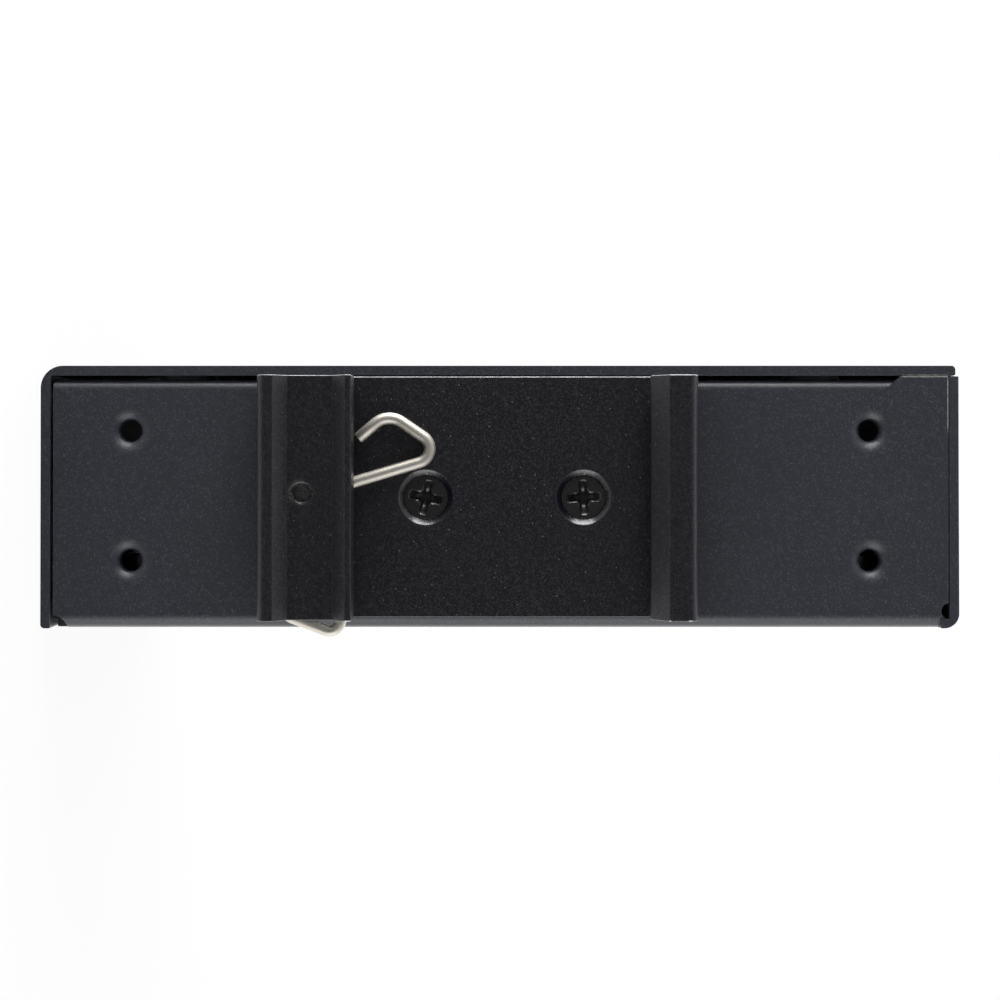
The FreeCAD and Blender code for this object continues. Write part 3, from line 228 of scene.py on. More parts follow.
class StageLook(PropertyGroup):
    """The floor, the lamps and the camera."""

    floor: colour("Floor", "Pale floor", "#f4f4f2")
    reach: length("Floor reach", "Length of the floor's side", 6000.0)
    distance: length("Camera distance", "From the camera to the rail seat", 200.0)
    beside: level("Camera beside", "Camera along X", -5.0 * MM, "LENGTH")
    aim: level("Aim", "Point of the case's back on the lens' axis, along X", -6.66 * MM, "LENGTH")
    shift: level("Shift", "Lens shift up the picture, as a share of it", -0.0618)
    below: length("Camera below", "Camera along -Z", 0.73)
    lens: level("Lens", "Focal length in mm on a 36 mm sensor", 64.32)
    ambient: level("Ambient", "Strength of the light from all round", 0.52)
    opening: level("Opening", "Brightness of the tent's opening in reflections", 0.09)
    wall: level("Wall", "Brightness of the tent's far wall in reflections", 2.0)
    key: level("Key", "Power of the large lamp", 8.5, "POWER")
    fill: level("Fill", "Power of the lamp across from it", 2.4, "POWER")
    overhead: level("Overhead", "Power of the lamp above", 0.7, "POWER")
    front: level("Front", "Power of the lamp on the sockets' side", 5.0, "POWER")


class SplitterLook(PropertyGroup):
    """Everything that a user may change."""

    case: PointerProperty(type=CaseLook)
    bracket: PointerProperty(type=BracketLook)
    spring: PointerProperty(type=SpringLook)
    screws: PointerProperty(type=ScrewLook)
    sockets: PointerProperty(type=SocketLook)
    indicators: PointerProperty(type=IndicatorLook)
    board: PointerProperty(type=BoardLook)
    stage: PointerProperty(type=StageLook)


# Finishes

def add(tree, kind, inputs=None, **settings):
    """Adds one shader node with its own settings.

    An input takes a value, or a link from a socket or from a node's first output.
    """
    node = tree.nodes.new("ShaderNode" + kind)
    for name, value in settings.items():
        setattr(node, name, value)
    for name, value in (inputs or {}).items():
        source = value.outputs[0] if isinstance(value, Node) else value
        if isinstance(source, NodeSocket):
            tree.links.new(source, node.inputs[name])
        else:
            node.inputs[name].default_value = source
    return node


def new_finish(name):
    """An empty material and its node tree."""
    finish = bpy.data.materials.new(name)
    finish.use_nodes = True
    finish.node_tree.nodes.clear()
    return finish, finish.node_tree


def opaque(rgb):
    """A colour with the fourth number that a socket takes."""
    return (*rgb, 1.0)


def even_finish(name, size, detail, rough, dents, inputs):
    """A finish of one pattern: its gloss and its relief follow noise of this size.

    rough holds the least and the most roughness, dents the relief's strength and its depth as a share of
    the size.
    """
    finish, tree = new_finish(name)
    place = add(tree, "TexCoord").outputs["Object"]
    pattern = add(tree, "TexNoise", {"Vector": place, "Scale": 1 / size, "Detail": detail})
    gloss = add(tree, "MapRange", {"Value": pattern, "To Min": rough[0], "To Max": rough[1]})
    relief = add(tree, "Bump", {"Height": pattern, "Strength": dents[0], "Distance": dents[1] * size})
    shader = add(tree, "BsdfPrincipled", {**inputs, "Roughness": gloss, "Normal": relief})
    add(tree, "OutputMaterial", {"Surface": shader})
    return finish


# The tab in the back's upper corner, in mm: x of its upper edge, z where that edge starts, z of its side
# edge, and x as far as the painted highlight on the side edge runs.
TAB = (-13.70, 44.9, 50.1, -7.2)
PAINTED_HIGHLIGHT_WIDTH = 0.15 * MM


def painted_edge_highlights(tree, place, patchy):
    """How much painted highlight lies on the coat, from 0 to 1: thin broken pale lines on the tab's two
    edges.
    """
    upper, start, side, end = (size * MM for size in TAB)
    core = 0.6 * PAINTED_HIGHLIGHT_WIDTH
    axes = add(tree, "SeparateXYZ", {"Vector": place}).outputs
    on_top = add(
        tree, "MapRange", {"Value": axes["X"], "From Min": upper + PAINTED_HIGHLIGHT_WIDTH, "From Max": upper + core}
    )
    on_side = add(
        tree, "MapRange", {"Value": axes["Z"], "From Min": side - PAINTED_HIGHLIGHT_WIDTH, "From Max": side - core}
    )
    fading = add(tree, "MapRange", {"Value": axes["X"], "From Min": end, "From Max": end - MM})
    side_line = add(tree, "Math", {0: on_side, 1: fading}, operation="MULTIPLY")
    lines = add(tree, "Math", {0: on_top, 1: side_line}, operation="MAXIMUM")
    middle = ((upper + end) / 2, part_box("chassis")[0].y, (start + side) / 2)
    reach = ((end - upper) / 2 + PAINTED_HIGHLIGHT_WIDTH, PAINTED_HIGHLIGHT_WIDTH, (side - start) / 2)
    apart = add(tree, "VectorMath", {0: place, 1: middle}, operation="SUBTRACT")
    spread = add(tree, "VectorMath", {0: apart}, operation="ABSOLUTE")
    shares = add(tree, "VectorMath", {0: spread, 1: reach}, operation="DIVIDE")
    broken = add(tree, "MapRange", {"Value": patchy, "From Min": 0.35, "From Max": 0.6, "To Max": 0.8})
    painted_light = add(tree, "Math", {0: lines, 1: broken}, operation="MULTIPLY")
    for share in add(tree, "SeparateXYZ", {"Vector": shares}).outputs:
        inside = add(tree, "Math", {0: share, 1: 1.001}, operation="LESS_THAN")
        painted_light = add(tree, "Math", {0: painted_light, 1: inside}, operation="MULTIPLY")
    return painted_light


def powder_coated_steel(look):
    """Steel sheet under baked fine-grain powder."""
    # Matt and almost black: grain breaks each reflection into a soft glow; single pale grains are painted
    # glints.
    finish, tree = new_finish("powder_coated_steel")
    place = add(tree, "TexCoord").outputs["Object"]
    bumps = add(tree, "TexNoise", {"Vector": place, "Scale": 1 / look.grain, "Detail": 2.0})
    grains = add(tree, "TexVoronoi", {"Vector": place, "Scale": 1 / look.grain})
    clouds = add(tree, "TexNoise", {"Vector": place, "Scale": 1 / look.cloud, "Detail": 2.0})
    # Painted glints: the palest grains take the paler colour, which stands in for light that they catch.
    painted_glint_mask = add(tree, "MapRange", {"Value": grains.outputs["Color"], "From Min": 0.72, "From Max": 1.0})
    coated = add(tree, "Mix", {0: painted_glint_mask, 6: opaque(look.coat), 7: opaque(look.painted_glint)}, data_type="RGBA")
    # Painted highlights: thin broken pale lines on the tab's edges take the pale colour.
    tone = add(
        tree, "Mix",
        {0: painted_edge_highlights(tree, place, bumps), 6: coated.outputs[2], 7: opaque(look.pale_marks_and_painted_light)},
        data_type="RGBA",
    )
    gloss = add(tree, "MapRange", {"Value": clouds, "To Min": 0.37, "To Max": 0.46})
    relief = add(tree, "Bump", {"Height": bumps, "Strength": 1.0, "Distance": look.relief})
    shader = add(
        tree, "BsdfPrincipled",
        {"Base Color": tone.outputs[2], "Roughness": gloss, "IOR": 1.5, "Normal": relief},
    )
    add(tree, "OutputMaterial", {"Surface": shader})
    return finish


def black_anodised_aluminium(look):
    """Extruded bar, dyed black in its anodic film."""
    # Satin and darker than the case: faint lines run along the bar from the die, and pale dust lies on it.
    finish, tree = new_finish("black_anodised_aluminium")
    place = add(tree, "TexCoord").outputs["Object"]
    along = add(
        tree, "Mapping",
        {"Vector": place, "Scale": (1 / look.die_run, 1 / look.die_line, 1 / look.die_line)},
    )
    lines = add(tree, "TexNoise", {"Vector": along, "Scale": 1.0, "Detail": 2.0})
    etch = add(tree, "TexVoronoi", {"Vector": place, "Scale": 1 / look.grain})
    pale = add(
        tree, "MapRange",
        {"Value": etch.outputs["Color"], "From Min": 0.5, "From Max": 0.95, "To Max": 0.075},
    )
    specks = add(tree, "TexVoronoi", {"Vector": place, "Scale": 1 / look.dust_gap})
    amount = add(
        tree, "MapRange",
        {"Value": specks.outputs["Color"], "From Min": 0.3, "From Max": 0.9, "To Max": 0.55},
    )
    dust = add(
        tree, "MapRange",
        {
            "Value": specks.outputs["Distance"], "From Min": 0.12, "From Max": 0.06,
            "To Min": pale, "To Max": amount,
        },
    )
    # Paler towards the stake: the film is scuffed round the dent, and the dent's floor is painted paler
    # still, painted light that lifts the dent's own shade.
    flat = add(tree, "VectorMath", {0: place, 1: (1, 0, 1)}, operation="MULTIPLY")
    apart = add(tree, "VectorMath", {0: flat, 1: (SCUFF_AND_PAINTED_LIGHT[0] * MM, 0, SCUFF_AND_PAINTED_LIGHT[1] * MM)}, operation="DISTANCE")
    ring = add(
        tree, "MapRange",
        {
            "Value": apart.outputs["Value"], "From Min": 1.2 * look.stake, "From Max": 0.3 * look.stake,
            "To Max": 0.42,
        },
        interpolation_type="SMOOTHSTEP",
    )
    scuff_and_painted_light = add(tree, "Math", {0: ring, 1: etch.outputs["Color"]}, operation="MULTIPLY")
    # Pale marks: dust specks, the stake's scuff, and the painted light in its dent.
    pale_marks_and_painted_light = add(tree, "Math", {0: dust, 1: scuff_and_painted_light}, operation="MAXIMUM")
    tone = add(tree, "Mix", {0: pale_marks_and_painted_light, 6: opaque(look.film), 7: opaque(look.dust)}, data_type="RGBA")
    gloss = add(tree, "MapRange", {"Value": lines, "To Min": 0.36, "To Max": 0.50})
    relief = add(tree, "Bump", {"Height": lines, "Strength": 0.25, "Distance": look.die_line / 12})
    shader = add(
        tree, "BsdfPrincipled",
        {
            "Base Color": tone.outputs[2], "Roughness": gloss, "IOR": 1.62,
            "Specular IOR Level": 0.35, "Normal": relief,
        },
    )
    add(tree, "OutputMaterial", {"Surface": shader})
    return finish


def saw_cut_aluminium(look):
    """Bare aluminium where the bar was sawn to length after it was dyed."""
    # A thin bright line on the black bar, uneven where the saw left the film or dragged a burr.
    finish, tree = new_finish("saw_cut_aluminium")
    place = add(tree, "TexCoord").outputs["Object"]
    along = add(
        tree, "Mapping",
        {"Vector": place, "Scale": (1 / look.saw_mark, 1 / look.saw_mark, 1 / look.saw_run)},
    )
    marks = add(tree, "TexNoise", {"Vector": along, "Scale": 1.0, "Detail": 3.0})
    cover = add(tree, "MapRange", {"Value": marks, "From Min": 0.66, "From Max": 0.38, "To Min": 0.5})
    tone = add(tree, "Mix", {0: cover, 6: opaque(look.film), 7: opaque(look.bare)}, data_type="RGBA")
    relief = add(tree, "Bump", {"Height": marks, "Strength": 0.4, "Distance": look.saw_mark / 10})
    shader = add(
        tree, "BsdfPrincipled",
        {"Base Color": tone.outputs[2], "Metallic": 1.0, "Roughness": 0.46, "Normal": relief},
    )
    add(tree, "OutputMaterial", {"Surface": shader})
    return finish


def machined_countersink(look):
    """Countersink that was cut into the bar with a smooth tool before it was dyed."""
    # Glossier than the drawn faces: it throws the lamp back as a bright crescent, broken by tool marks.
    return even_finish(
        "machined_black_anodised_aluminium", look.saw_mark, 3.0, (0.12, 0.40), (0.5, 1 / 8),
        {"Base Color": opaque(look.film), "IOR": 1.62},
    )


def nickel_plated_wire(look):
    """Spring wire, drawn through a die and plated with nickel."""
    # Warm and bright, with streaks along the wire that stretch each reflection.
    finish, tree = new_finish("nickel_plated_wire")
    wound = add(tree, "UVMap", uv_map="wire").outputs["UV"]
    along = add(tree, "Mapping", {"Vector": wound, "Scale": (1 / look.draw_run, STREAKS_ROUND_WIRE, 1.0)})
    streaks = add(tree, "TexNoise", {"Vector": along, "Scale": 1.0, "Detail": 3.0})
    gloss = add(tree, "MapRange", {"Value": streaks, "To Min": 0.50, "To Max": 0.62})
    relief = add(tree, "Bump", {"Height": streaks, "Strength": 0.3, "Distance": look.diameter / 60})
    shader = add(
        tree, "BsdfPrincipled",
        {"Base Color": opaque(look.plating), "Metallic": 1.0, "Roughness": gloss, "Normal": relief},
    )
    add(tree, "OutputMaterial", {"Surface": shader})
    return finish


def black_oxide_steel(look):
    """Pressed screw steel, blackened in an oxide bath and oiled."""
    # Nearly black, with an oily gloss on the head's edge and in the recess.
    return even_finish(
        "black_oxide_steel", look.pit, 3.0, (0.16, 0.32), (0.35, 1 / 10),
        {"Base Color": opaque(look.oxide), "IOR": 1.6, "Specular IOR Level": 0.4},
    )


def plated_metal(name, plating, patch, rough):
    """Sheet or turned metal under a thin plating, cloudy where the plating is thicker."""
    return even_finish(
        name, patch, 4.0, rough, (0.1, 1 / 40), {"Base Color": opaque(plating), "Metallic": 1.0}
    )


def moulded(name, plastic, texture, ior, rough):
    """Plastic or epoxy from an eroded mould, with the mould's fine texture on it."""
    finish, tree = new_finish(name)
    place = add(tree, "TexCoord").outputs["Object"]
    sparks = add(tree, "TexNoise", {"Vector": place, "Scale": 1 / texture, "Detail": 2.0})
    shade = add(
        tree, "Mix",
        {0: sparks, 6: opaque([0.85 * share for share in plastic]), 7: opaque(plastic)},
        data_type="RGBA",
    )
    gloss = add(tree, "MapRange", {"Value": sparks, "To Min": rough[0], "To Max": rough[1]})
    relief = add(tree, "Bump", {"Height": sparks, "Strength": 0.3, "Distance": texture / 12})
    shader = add(
        tree, "BsdfPrincipled",
        {"Base Color": shade.outputs[2], "Roughness": gloss, "IOR": ior, "Normal": relief},
    )
    add(tree, "OutputMaterial", {"Surface": shader})
    return finish


def clear_moulding(name, plastic, flow, ior, rough):
    """Clear plastic or cast epoxy, with faint flow lines that bend what is seen through it."""
    return even_finish(
        name, flow, 1.0, rough, (0.1, 1 / 40),
        {"Base Color": opaque(plastic), "IOR": ior, "Transmission Weight": 0.92},
    )


# How far a wave texture's phase turns over one unit at scale 1, in radians.
WAVE_PHASE = 20


def solder_masked_laminate(look):
    """Woven glass and epoxy under green lacquer, with copper tracks below it."""
    # Glossy green: the tracks are a lighter green, and the weave ripples the gloss.
    finish, tree = new_finish("solder_masked_laminate")
    place = add(tree, "TexCoord").outputs["Object"]
    weave = [
        add(
            tree, "TexWave",
            {"Vector": place, "Scale": math.tau / (WAVE_PHASE * look.thread), "Distortion": 0.4},
            bands_direction=axis,
        ).outputs["Fac"]
        for axis in ("Y", "Z")
    ]
    threads = add(tree, "Math", {0: weave[0], 1: weave[1]}, operation="MAXIMUM")
    lanes = add(tree, "TexVoronoi", {"Vector": place, "Scale": 1 / look.track_gap}, distance="MANHATTAN")
    tracks = add(tree, "MapRange", {"Value": lanes.outputs["Distance"], "From Min": 0.55, "From Max": 0.62})
    tone = add(tree, "Mix", {0: tracks, 6: opaque(look.mask), 7: opaque(look.track)}, data_type="RGBA")
    relief = add(tree, "Bump", {"Height": threads, "Strength": 0.2, "Distance": look.thread / 30})
    shader = add(
        tree, "BsdfPrincipled",
        {"Base Color": tone.outputs[2], "Roughness": 0.28, "IOR": 1.52, "Normal": relief},
    )
    add(tree, "OutputMaterial", {"Surface": shader})
    return finish


def wound_tape(look):
    """Polyester tape wound over copper wire."""
    # Glossy amber film, with a darker line at the edge of each turn.
    finish, tree = new_finish("wound_polyester_tape")
    place = add(tree, "TexCoord").outputs["Object"]
    turns = add(
        tree, "TexWave", {"Vector": place, "Scale": math.tau / (WAVE_PHASE * look.turn), "Distortion": 0.6},
        bands_direction="X", wave_profile="SAW",
    ).outputs["Fac"]
    shade = add(
        tree, "Mix",
        {0: turns, 6: opaque([0.7 * share for share in look.tape]), 7: opaque(look.tape)},
        data_type="RGBA",
    )
    relief = add(tree, "Bump", {"Height": turns, "Strength": 0.3, "Distance": look.turn / 40})
    shader = add(
        tree, "BsdfPrincipled",
        {"Base Color": shade.outputs[2], "Roughness": 0.25, "IOR": 1.57, "Normal": relief},
    )
    add(tree, "OutputMaterial", {"Surface": shader})
    return finish


# Shapes

def new_piece(name, mesh):
    """Puts a mesh in the scene under its own name."""
    piece = bpy.data.objects.new(name, mesh)
    bpy.context.scene.collection.objects.link(piece)
    return piece


def fit(piece, node):
    """Lets a piece ride in place of a node, which it hides."""
    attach(piece, BODY)
    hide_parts(node)


def remade(node, name):
    """A copy of a node's solid with one vertex at each corner and whole flat faces."""
    mesh = NODES[node].data.copy()
    mesh.name = name
    mesh.materials.clear()
    shape = bmesh.new()
    shape.from_mesh(mesh)
    bmesh.ops.remove_doubles(shape, verts=shape.verts, dist=WELD)
    bmesh.ops.dissolve_limit(shape, angle_limit=FLAT, verts=shape.verts, edges=shape.edges)
    for face in shape.faces:
        face.smooth = True
    for edge in shape.edges:
        edge.smooth = True
    shape.to_mesh(mesh)
    shape.free()
    if "custom_normal" in mesh.attributes:
        mesh.attributes.remove(mesh.attributes["custom_normal"])
    return new_piece(name, mesh)


def sort_edges(piece, shortest=math.inf, room=0.0):
    """Picks the sharp edges longer than this for rounding, where the next ones leave room for it.

    The other sharp edges stay crisp.
    """
    shape = bmesh.new()
    shape.from_mesh(piece.data)
    weight = shape.edges.layers.float.new("bevel_weight_edge")
    sharp = {edge for edge in shape.edges if edge.is_manifold and edge.calc_face_angle() > SHARP}
    for edge in sharp:
        nexts = [other for end in edge.verts for other in end.link_edges if other in sharp]
        if edge.calc_length() > shortest and all(other.calc_length() > room for other in nexts):
            edge[weight] = 1.0
        else:
            edge.smooth = False
    shape.to_mesh(piece.data)
    shape.free()


def round_edges(piece, radius, pick="ANGLE"):
    """Rounds the sharp or the picked edges."""
    rounding = piece.modifiers.new("round_edges", "BEVEL")
    rounding.width = radius
    rounding.segments = 2
    rounding.limit_method = pick
    rounding.angle_limit = SHARP
    rounding.use_clamp_overlap = False
    rounding.miter_outer = "MITER_ARC"


def flatten_faces(piece):
    """Lets the flat faces beside rounded edges keep their own normals."""
    flattened = piece.modifiers.new("flat_faces", "WEIGHTED_NORMAL")
    flattened.keep_sharp = True


def crease(piece):
    """Keeps the edges crisp that rounding has left sharp."""
    shape = bmesh.new()
    shape.from_mesh(piece.data)
    for edge in shape.edges:
        if edge.is_manifold and edge.calc_face_angle() > CREASED:
            edge.smooth = False
    shape.to_mesh(piece.data)
    shape.free()


def settle(piece):
    """Makes the result of a piece's modifiers its own mesh."""
    graph = bpy.context.evaluated_depsgraph_get()
    result = bpy.data.meshes.new_from_object(piece.evaluated_get(graph))
    rough = piece.data
    result.name = rough.name + "_settled"
    piece.modifiers.clear()
    piece.data = result
    bpy.data.meshes.remove(rough)


# Turns that bring +Z to the way out of the case's back and out of its cover.
FACING_BACK = Matrix.Rotation(math.radians(90), 4, "X")
FACING_COVER = Matrix.Rotation(math.radians(-90), 4, "Y")


def turned(profile, where):
    """A solid of revolution about Z from (radius, height) points that start and end on the axis."""
    shape = bmesh.new()
    points = [shape.verts.new((radius, 0, height)) for radius, height in profile]
    lines = [shape.edges.new(pair) for pair in zip(points, points[1:])]
    bmesh.ops.spin(
        shape, geom=points + lines, axis=(0, 0, 1), cent=(0, 0, 0), steps=TURN_STEPS, angle=2 * math.pi
    )
    bmesh.ops.remove_doubles(shape, verts=shape.verts, dist=WELD)
    return settled_solid(shape, where)


def stacked(rings, where):
    """A solid through rings of points, one above the other."""
    shape = bmesh.new()
    rows = [[shape.verts.new(point) for point in ring] for ring in rings]
    for lower, upper in zip(rows, rows[1:]):
        for index in range(len(lower)):
            shape.faces.new((lower[index - 1], lower[index], upper[index], upper[index - 1]))
    shape.faces.new(rows[0])
    shape.faces.new(rows[-1])
    return settled_solid(shape, where)


def settled_solid(shape, where):
    """The mesh of a closed shape, faced outwards, smooth and put in its place."""
    bmesh.ops.recalc_face_normals(shape, faces=shape.faces)
    bmesh.ops.transform(shape, matrix=where, verts=shape.verts)
    for face in shape.faces:
        face.smooth = True
    mesh = bpy.data.meshes.new("solid")
    shape.to_mesh(mesh)
    shape.free()
    return mesh


def joined(name, meshes):
    """One mesh of several, which it uses up."""
    shape = bmesh.new()
    for mesh in meshes:
        shape.from_mesh(mesh)
        bpy.data.meshes.remove(mesh)
    whole = bpy.data.meshes.new(name)
    shape.to_mesh(whole)
    shape.free()
    return whole


def cut(piece, meshes):
    """Takes the solids of these meshes out of a piece."""
    cutter = new_piece("cutter", joined("cutter", meshes))
    cutting = piece.modifiers.new("cut", "BOOLEAN")
    cutting.operation = "DIFFERENCE"
    cutting.solver = "EXACT"
    cutting.object = cutter
    bpy.context.view_layer.update()
    settle(piece)
    mesh = cutter.data
    bpy.data.objects.remove(cutter)
    bpy.data.meshes.remove(mesh)


def flared_mouth(look):
    """Half section of the air in a drawn screw hole: the sheet turns in on a round as far as the thread."""
    last = math.radians(50)
    bend = (look.mouth - look.bore) / math.sin(last)
    skim = 0.01 * MM
    above = 0.4 * MM
    first = math.acos(1 - skim / bend)
    steps = 14
    rise = look.mouth - bend * math.sin(first)
    rim = look.mouth + 0.2 * MM
    arc = []
    for step in range(steps + 1):
        turn = first + (last - first) * step / steps
        arc.append((look.mouth - bend * math.sin(turn), -bend * (1 - math.cos(turn))))
    outside = (rim, (rim - rise) * math.tan(first) - skim)
    return [(0, above), (rim, above), outside, *arc, (0, arc[-1][1])]


# The dent of the punched stake as shares of its radius and depth, from its rim to its floor.
DENT = [(1.25, 0.10), (1.0, 0.0), (0.86, -0.05), (0.66, -0.47), (0.60, -0.70), (0.45, -0.92), (0.0, -1.0)]
# The punch leaned when it struck, so the dent's lower left wall is shallower than the others.
STAKE_LEAN = Matrix.Rotation(math.radians(13), 4, (-0.3, 0, 1))


def stake_dent(look):
    """The air in the dent of the stake, on the roof over the spring."""
    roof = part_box("din_bracket")[0].y + BEAD_OVER_ROOF
    profile = [(share * look.stake, drop * look.stake_depth) for share, drop in DENT]
    rim = profile[0]
    where = Matrix.Translation((STAKE[0] * MM, roof, STAKE[1] * MM)) @ STAKE_LEAN @ FACING_BACK
    return turned([(0, rim[1]), *profile], where)


# Turns along the hollow between two wings and round a wing's tip.
CORNER_TURNS = [math.radians(270 - 15 * step) for step in range(4)]
TIP_TURNS = [math.radians(22.5 * step) for step in range(5)]


def cross(reach, wing, height):
    """Points round a cross recess: rounded wings, and hollow corners between them."""
    half = wing / 2
    hollow = 0.55 * wing
    tip = 0.7 * half
    inside = half + hollow
    side = [(inside + hollow * math.cos(turn), inside + hollow * math.sin(turn)) for turn in CORNER_TURNS]
    end = [(reach - tip + tip * math.sin(turn), half - tip + tip * math.cos(turn)) for turn in TIP_TURNS]
    upper = [*reversed(end), *side]
    wing_points = [*((x, -y) for x, y in reversed(upper)), *upper]
    ring = []
    for quarter in range(4):
        turn = Matrix.Rotation(math.radians(90) * quarter, 2)
        ring += [(*(turn @ Vector(point)), height) for point in wing_points[1:]]
    return ring


# The cross recess from above the head to its floor: reach, wing and depth as shares.
RECESS = [
    (1.09, 1.28, 0.30),
    (1.09, 1.28, 0.0),
    (1.0, 1.0, -0.10),
    (0.84, 0.94, -0.45),
    (0.58, 0.80, -0.8),
    (0.34, 0.42, -1.0),
]


def screws(name, look, head, height, places):
    """Countersunk screws with cross recesses, from the places of their heads' tops."""
    edge = look.edge
    rounded = [(head - edge * (1 - math.sin(turn)), -edge * (1 - math.cos(turn))) for turn in TIP_TURNS]
    profile = [(0, 0), *rounded, (look.shank, look.shank - head), (look.shank, -height), (0, -height)]
    rings = [cross(look.reach * out, look.wing * wide, look.depth * up) for out, wide, up in RECESS]
    piece = new_piece(name, joined(name, [turned(profile, place) for place in places]))
    cut(piece, [stacked(rings, place) for place in places])
    sort_edges(piece)
    return piece


def bracket_screw_places():
    """Middles of the two bracket screws' heads, the lower one first."""
    low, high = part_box("bracket_screws")
    head = (high.x - low.x) / 2
    return [Vector((low.x + head, low.y, z)) for z in (low.z + head, high.z - head)]


def hole_places():
    """Centres of the four screw holes in the plane of the case's back."""
    mount = MOUNTS["wall_holes"]
    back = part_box("chassis")[0].y
    across = mount["dims"]["spacing_x_mm"] * MM / 2
    along = mount["dims"]["spacing_y_mm"] * MM / 2
    middle = Vector((mount["pos_m"][0], back, mount["pos_m"][2]))
    return [middle + Vector((x, 0, z)) for x in (-across, across) for z in (-along, along)]


# The spring's centreline as (x, z, bend radius) corners in mm, from the free end to the tail behind the
# hook.
SPRING_CORNERS = [
    (-6.63, -16.59, 0.0),
    (-9.48, -13.24, 2.4),
    (-4.89, -6.47, 1.6),
    (0.51, -24.62, 1.45),
    (13.08, -24.66, 1.2),
    (15.40, -18.50, 1.25),
    (11.60, -18.50, 0.0),
]
BEND_STEP = math.radians(6)
WIRE_SIDES = 28


def bent_line(corners, height):
    """Points along straight runs joined by tangent arcs, in the plane y = height."""
    places = [Vector((x, z)) * MM for x, z, _ in corners]
    line = [places[0]]
    for before, corner, after, (_, _, bend) in zip(places, places[1:], places[2:], corners[1:]):
        back = (before - corner).normalized()
        ahead = (after - corner).normalized()
        half = back.angle(ahead) / 2
        reach = bend * MM / math.tan(half)
        centre = corner + (back + ahead).normalized() * (bend * MM / math.sin(half))
        start = corner + back * reach - centre
        sweep = -start.angle_signed(corner + ahead * reach - centre)
        steps = max(2, math.ceil(abs(sweep) / BEND_STEP))
        for step in range(steps + 1):
            turn = Matrix.Rotation(sweep * step / steps, 2)
            line.append(centre + turn @ start)
    line.append(places[-1])
    return [Vector((point.x, height, point.y)) for point in line]


def wire(name, line, radius, burr):
    """A round wire along a flat line, with broken ends and its skin unrolled in the map called wire."""
    shape = bmesh.new()
    unrolled = shape.loops.layers.uv.new("wire")
    normal = Vector((0, 1, 0))
    run = 0.0
    stations = []
    for index, point in enumerate(line):
        before = line[max(index - 1, 0)]
        after = line[min(index + 1, len(line) - 1)]
        run += (point - before).length
        stations.append((point, (after - before).normalized(), radius, run))
    first, last = stations[0], stations[-1]
    stations[0] = (first[0] + first[1] * burr, first[1], radius, burr)
    stations[-1] = (last[0] - last[1] * burr, last[1], radius, run - burr)
    stations.insert(0, (first[0], first[1], radius - burr, 0.0))
    stations.append((last[0], last[1], radius - burr, run))
    rings = []
    for point, ahead, size, _ in stations:
        side = ahead.cross(normal)
        ring = []
        for step in range(WIRE_SIDES):
            turn = 2 * math.pi * step / WIRE_SIDES
            ring.append(shape.verts.new(point + (side * math.cos(turn) + normal * math.sin(turn)) * size))
        rings.append(ring)
    for index in range(len(rings) - 1):
        for step in range(WIRE_SIDES):
            beside = (step + 1) % WIRE_SIDES
            face = shape.faces.new(
                (rings[index][step], rings[index][beside], rings[index + 1][beside], rings[index + 1][step])
            )
            face.smooth = True
            ends = [(index, step), (index, step + 1), (index + 1, step + 1), (index + 1, step)]
            for loop, (station, side_step) in zip(face.loops, ends):
                loop[unrolled].uv = (stations[station][3], side_step / WIRE_SIDES)
    shape.faces.new(rings[0])
    shape.faces.new(reversed(rings[-1]))
    bmesh.ops.recalc_face_normals(shape, faces=shape.faces)
    mesh = bpy.data.meshes.new(name)
    shape.to_mesh(mesh)
    shape.free()
    return new_piece(name, mesh)


# Corners of the bracket's lower end, as z in mm, where a burr of bare metal is left.
BURRED_CORNERS = (-17.4, 17.85, 20.15)
BURR_REACH = 0.45 * MM
# The least share of a normal along the bar on a sawn end, on its break and on a burr.
SAWN, BROKEN, BURRED = 0.98, 0.6, 0.15
# A countersink's faces lie this near a screw's axis, and their normals have this share along it.
COUNTERSINK = 3.2 * MM
COUNTERSUNK = (-0.9, -0.4)


def bare_the_cut(piece, edge):
    """Gives sawn ends, the upper end's break and burrs their bare metal, and countersinks their gloss."""
    low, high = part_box("din_bracket")
    screw_axes = bracket_screw_places()
    for face in piece.data.polygons:
        at_upper_end = face.center.x < low.x + edge
        at_lower_end = face.center.x > high.x - edge
        at_corner = any(abs(face.center.z - z * MM) < BURR_REACH for z in BURRED_CORNERS)
        sawn = abs(face.normal.x) > SAWN and (at_upper_end or at_lower_end)
        broken = at_upper_end and face.normal.x < -BROKEN
        burred = at_lower_end and at_corner and face.normal.x > BURRED and face.center.y < low.y + edge
        face.material_index = 1 if sawn or broken or burred else 0
        sunk = min((face.center - axis).xz.length for axis in screw_axes)
        if sunk < COUNTERSINK and COUNTERSUNK[0] < face.normal.y < COUNTERSUNK[1]:
            face.material_index = 2


def dress(nodes, finish, edge=0.0):
    """Gives nodes that keep their solids a finish, and rounds their edges."""
    for node in nodes:
        piece = NODES[node]
        piece.data.materials.clear()
        piece.data.materials.append(finish)
        if edge:
            welding = piece.modifiers.new("join_faces", "WELD")
            welding.merge_threshold = WELD
            round_edges(piece, edge)
            flatten_faces(piece)


# Steps

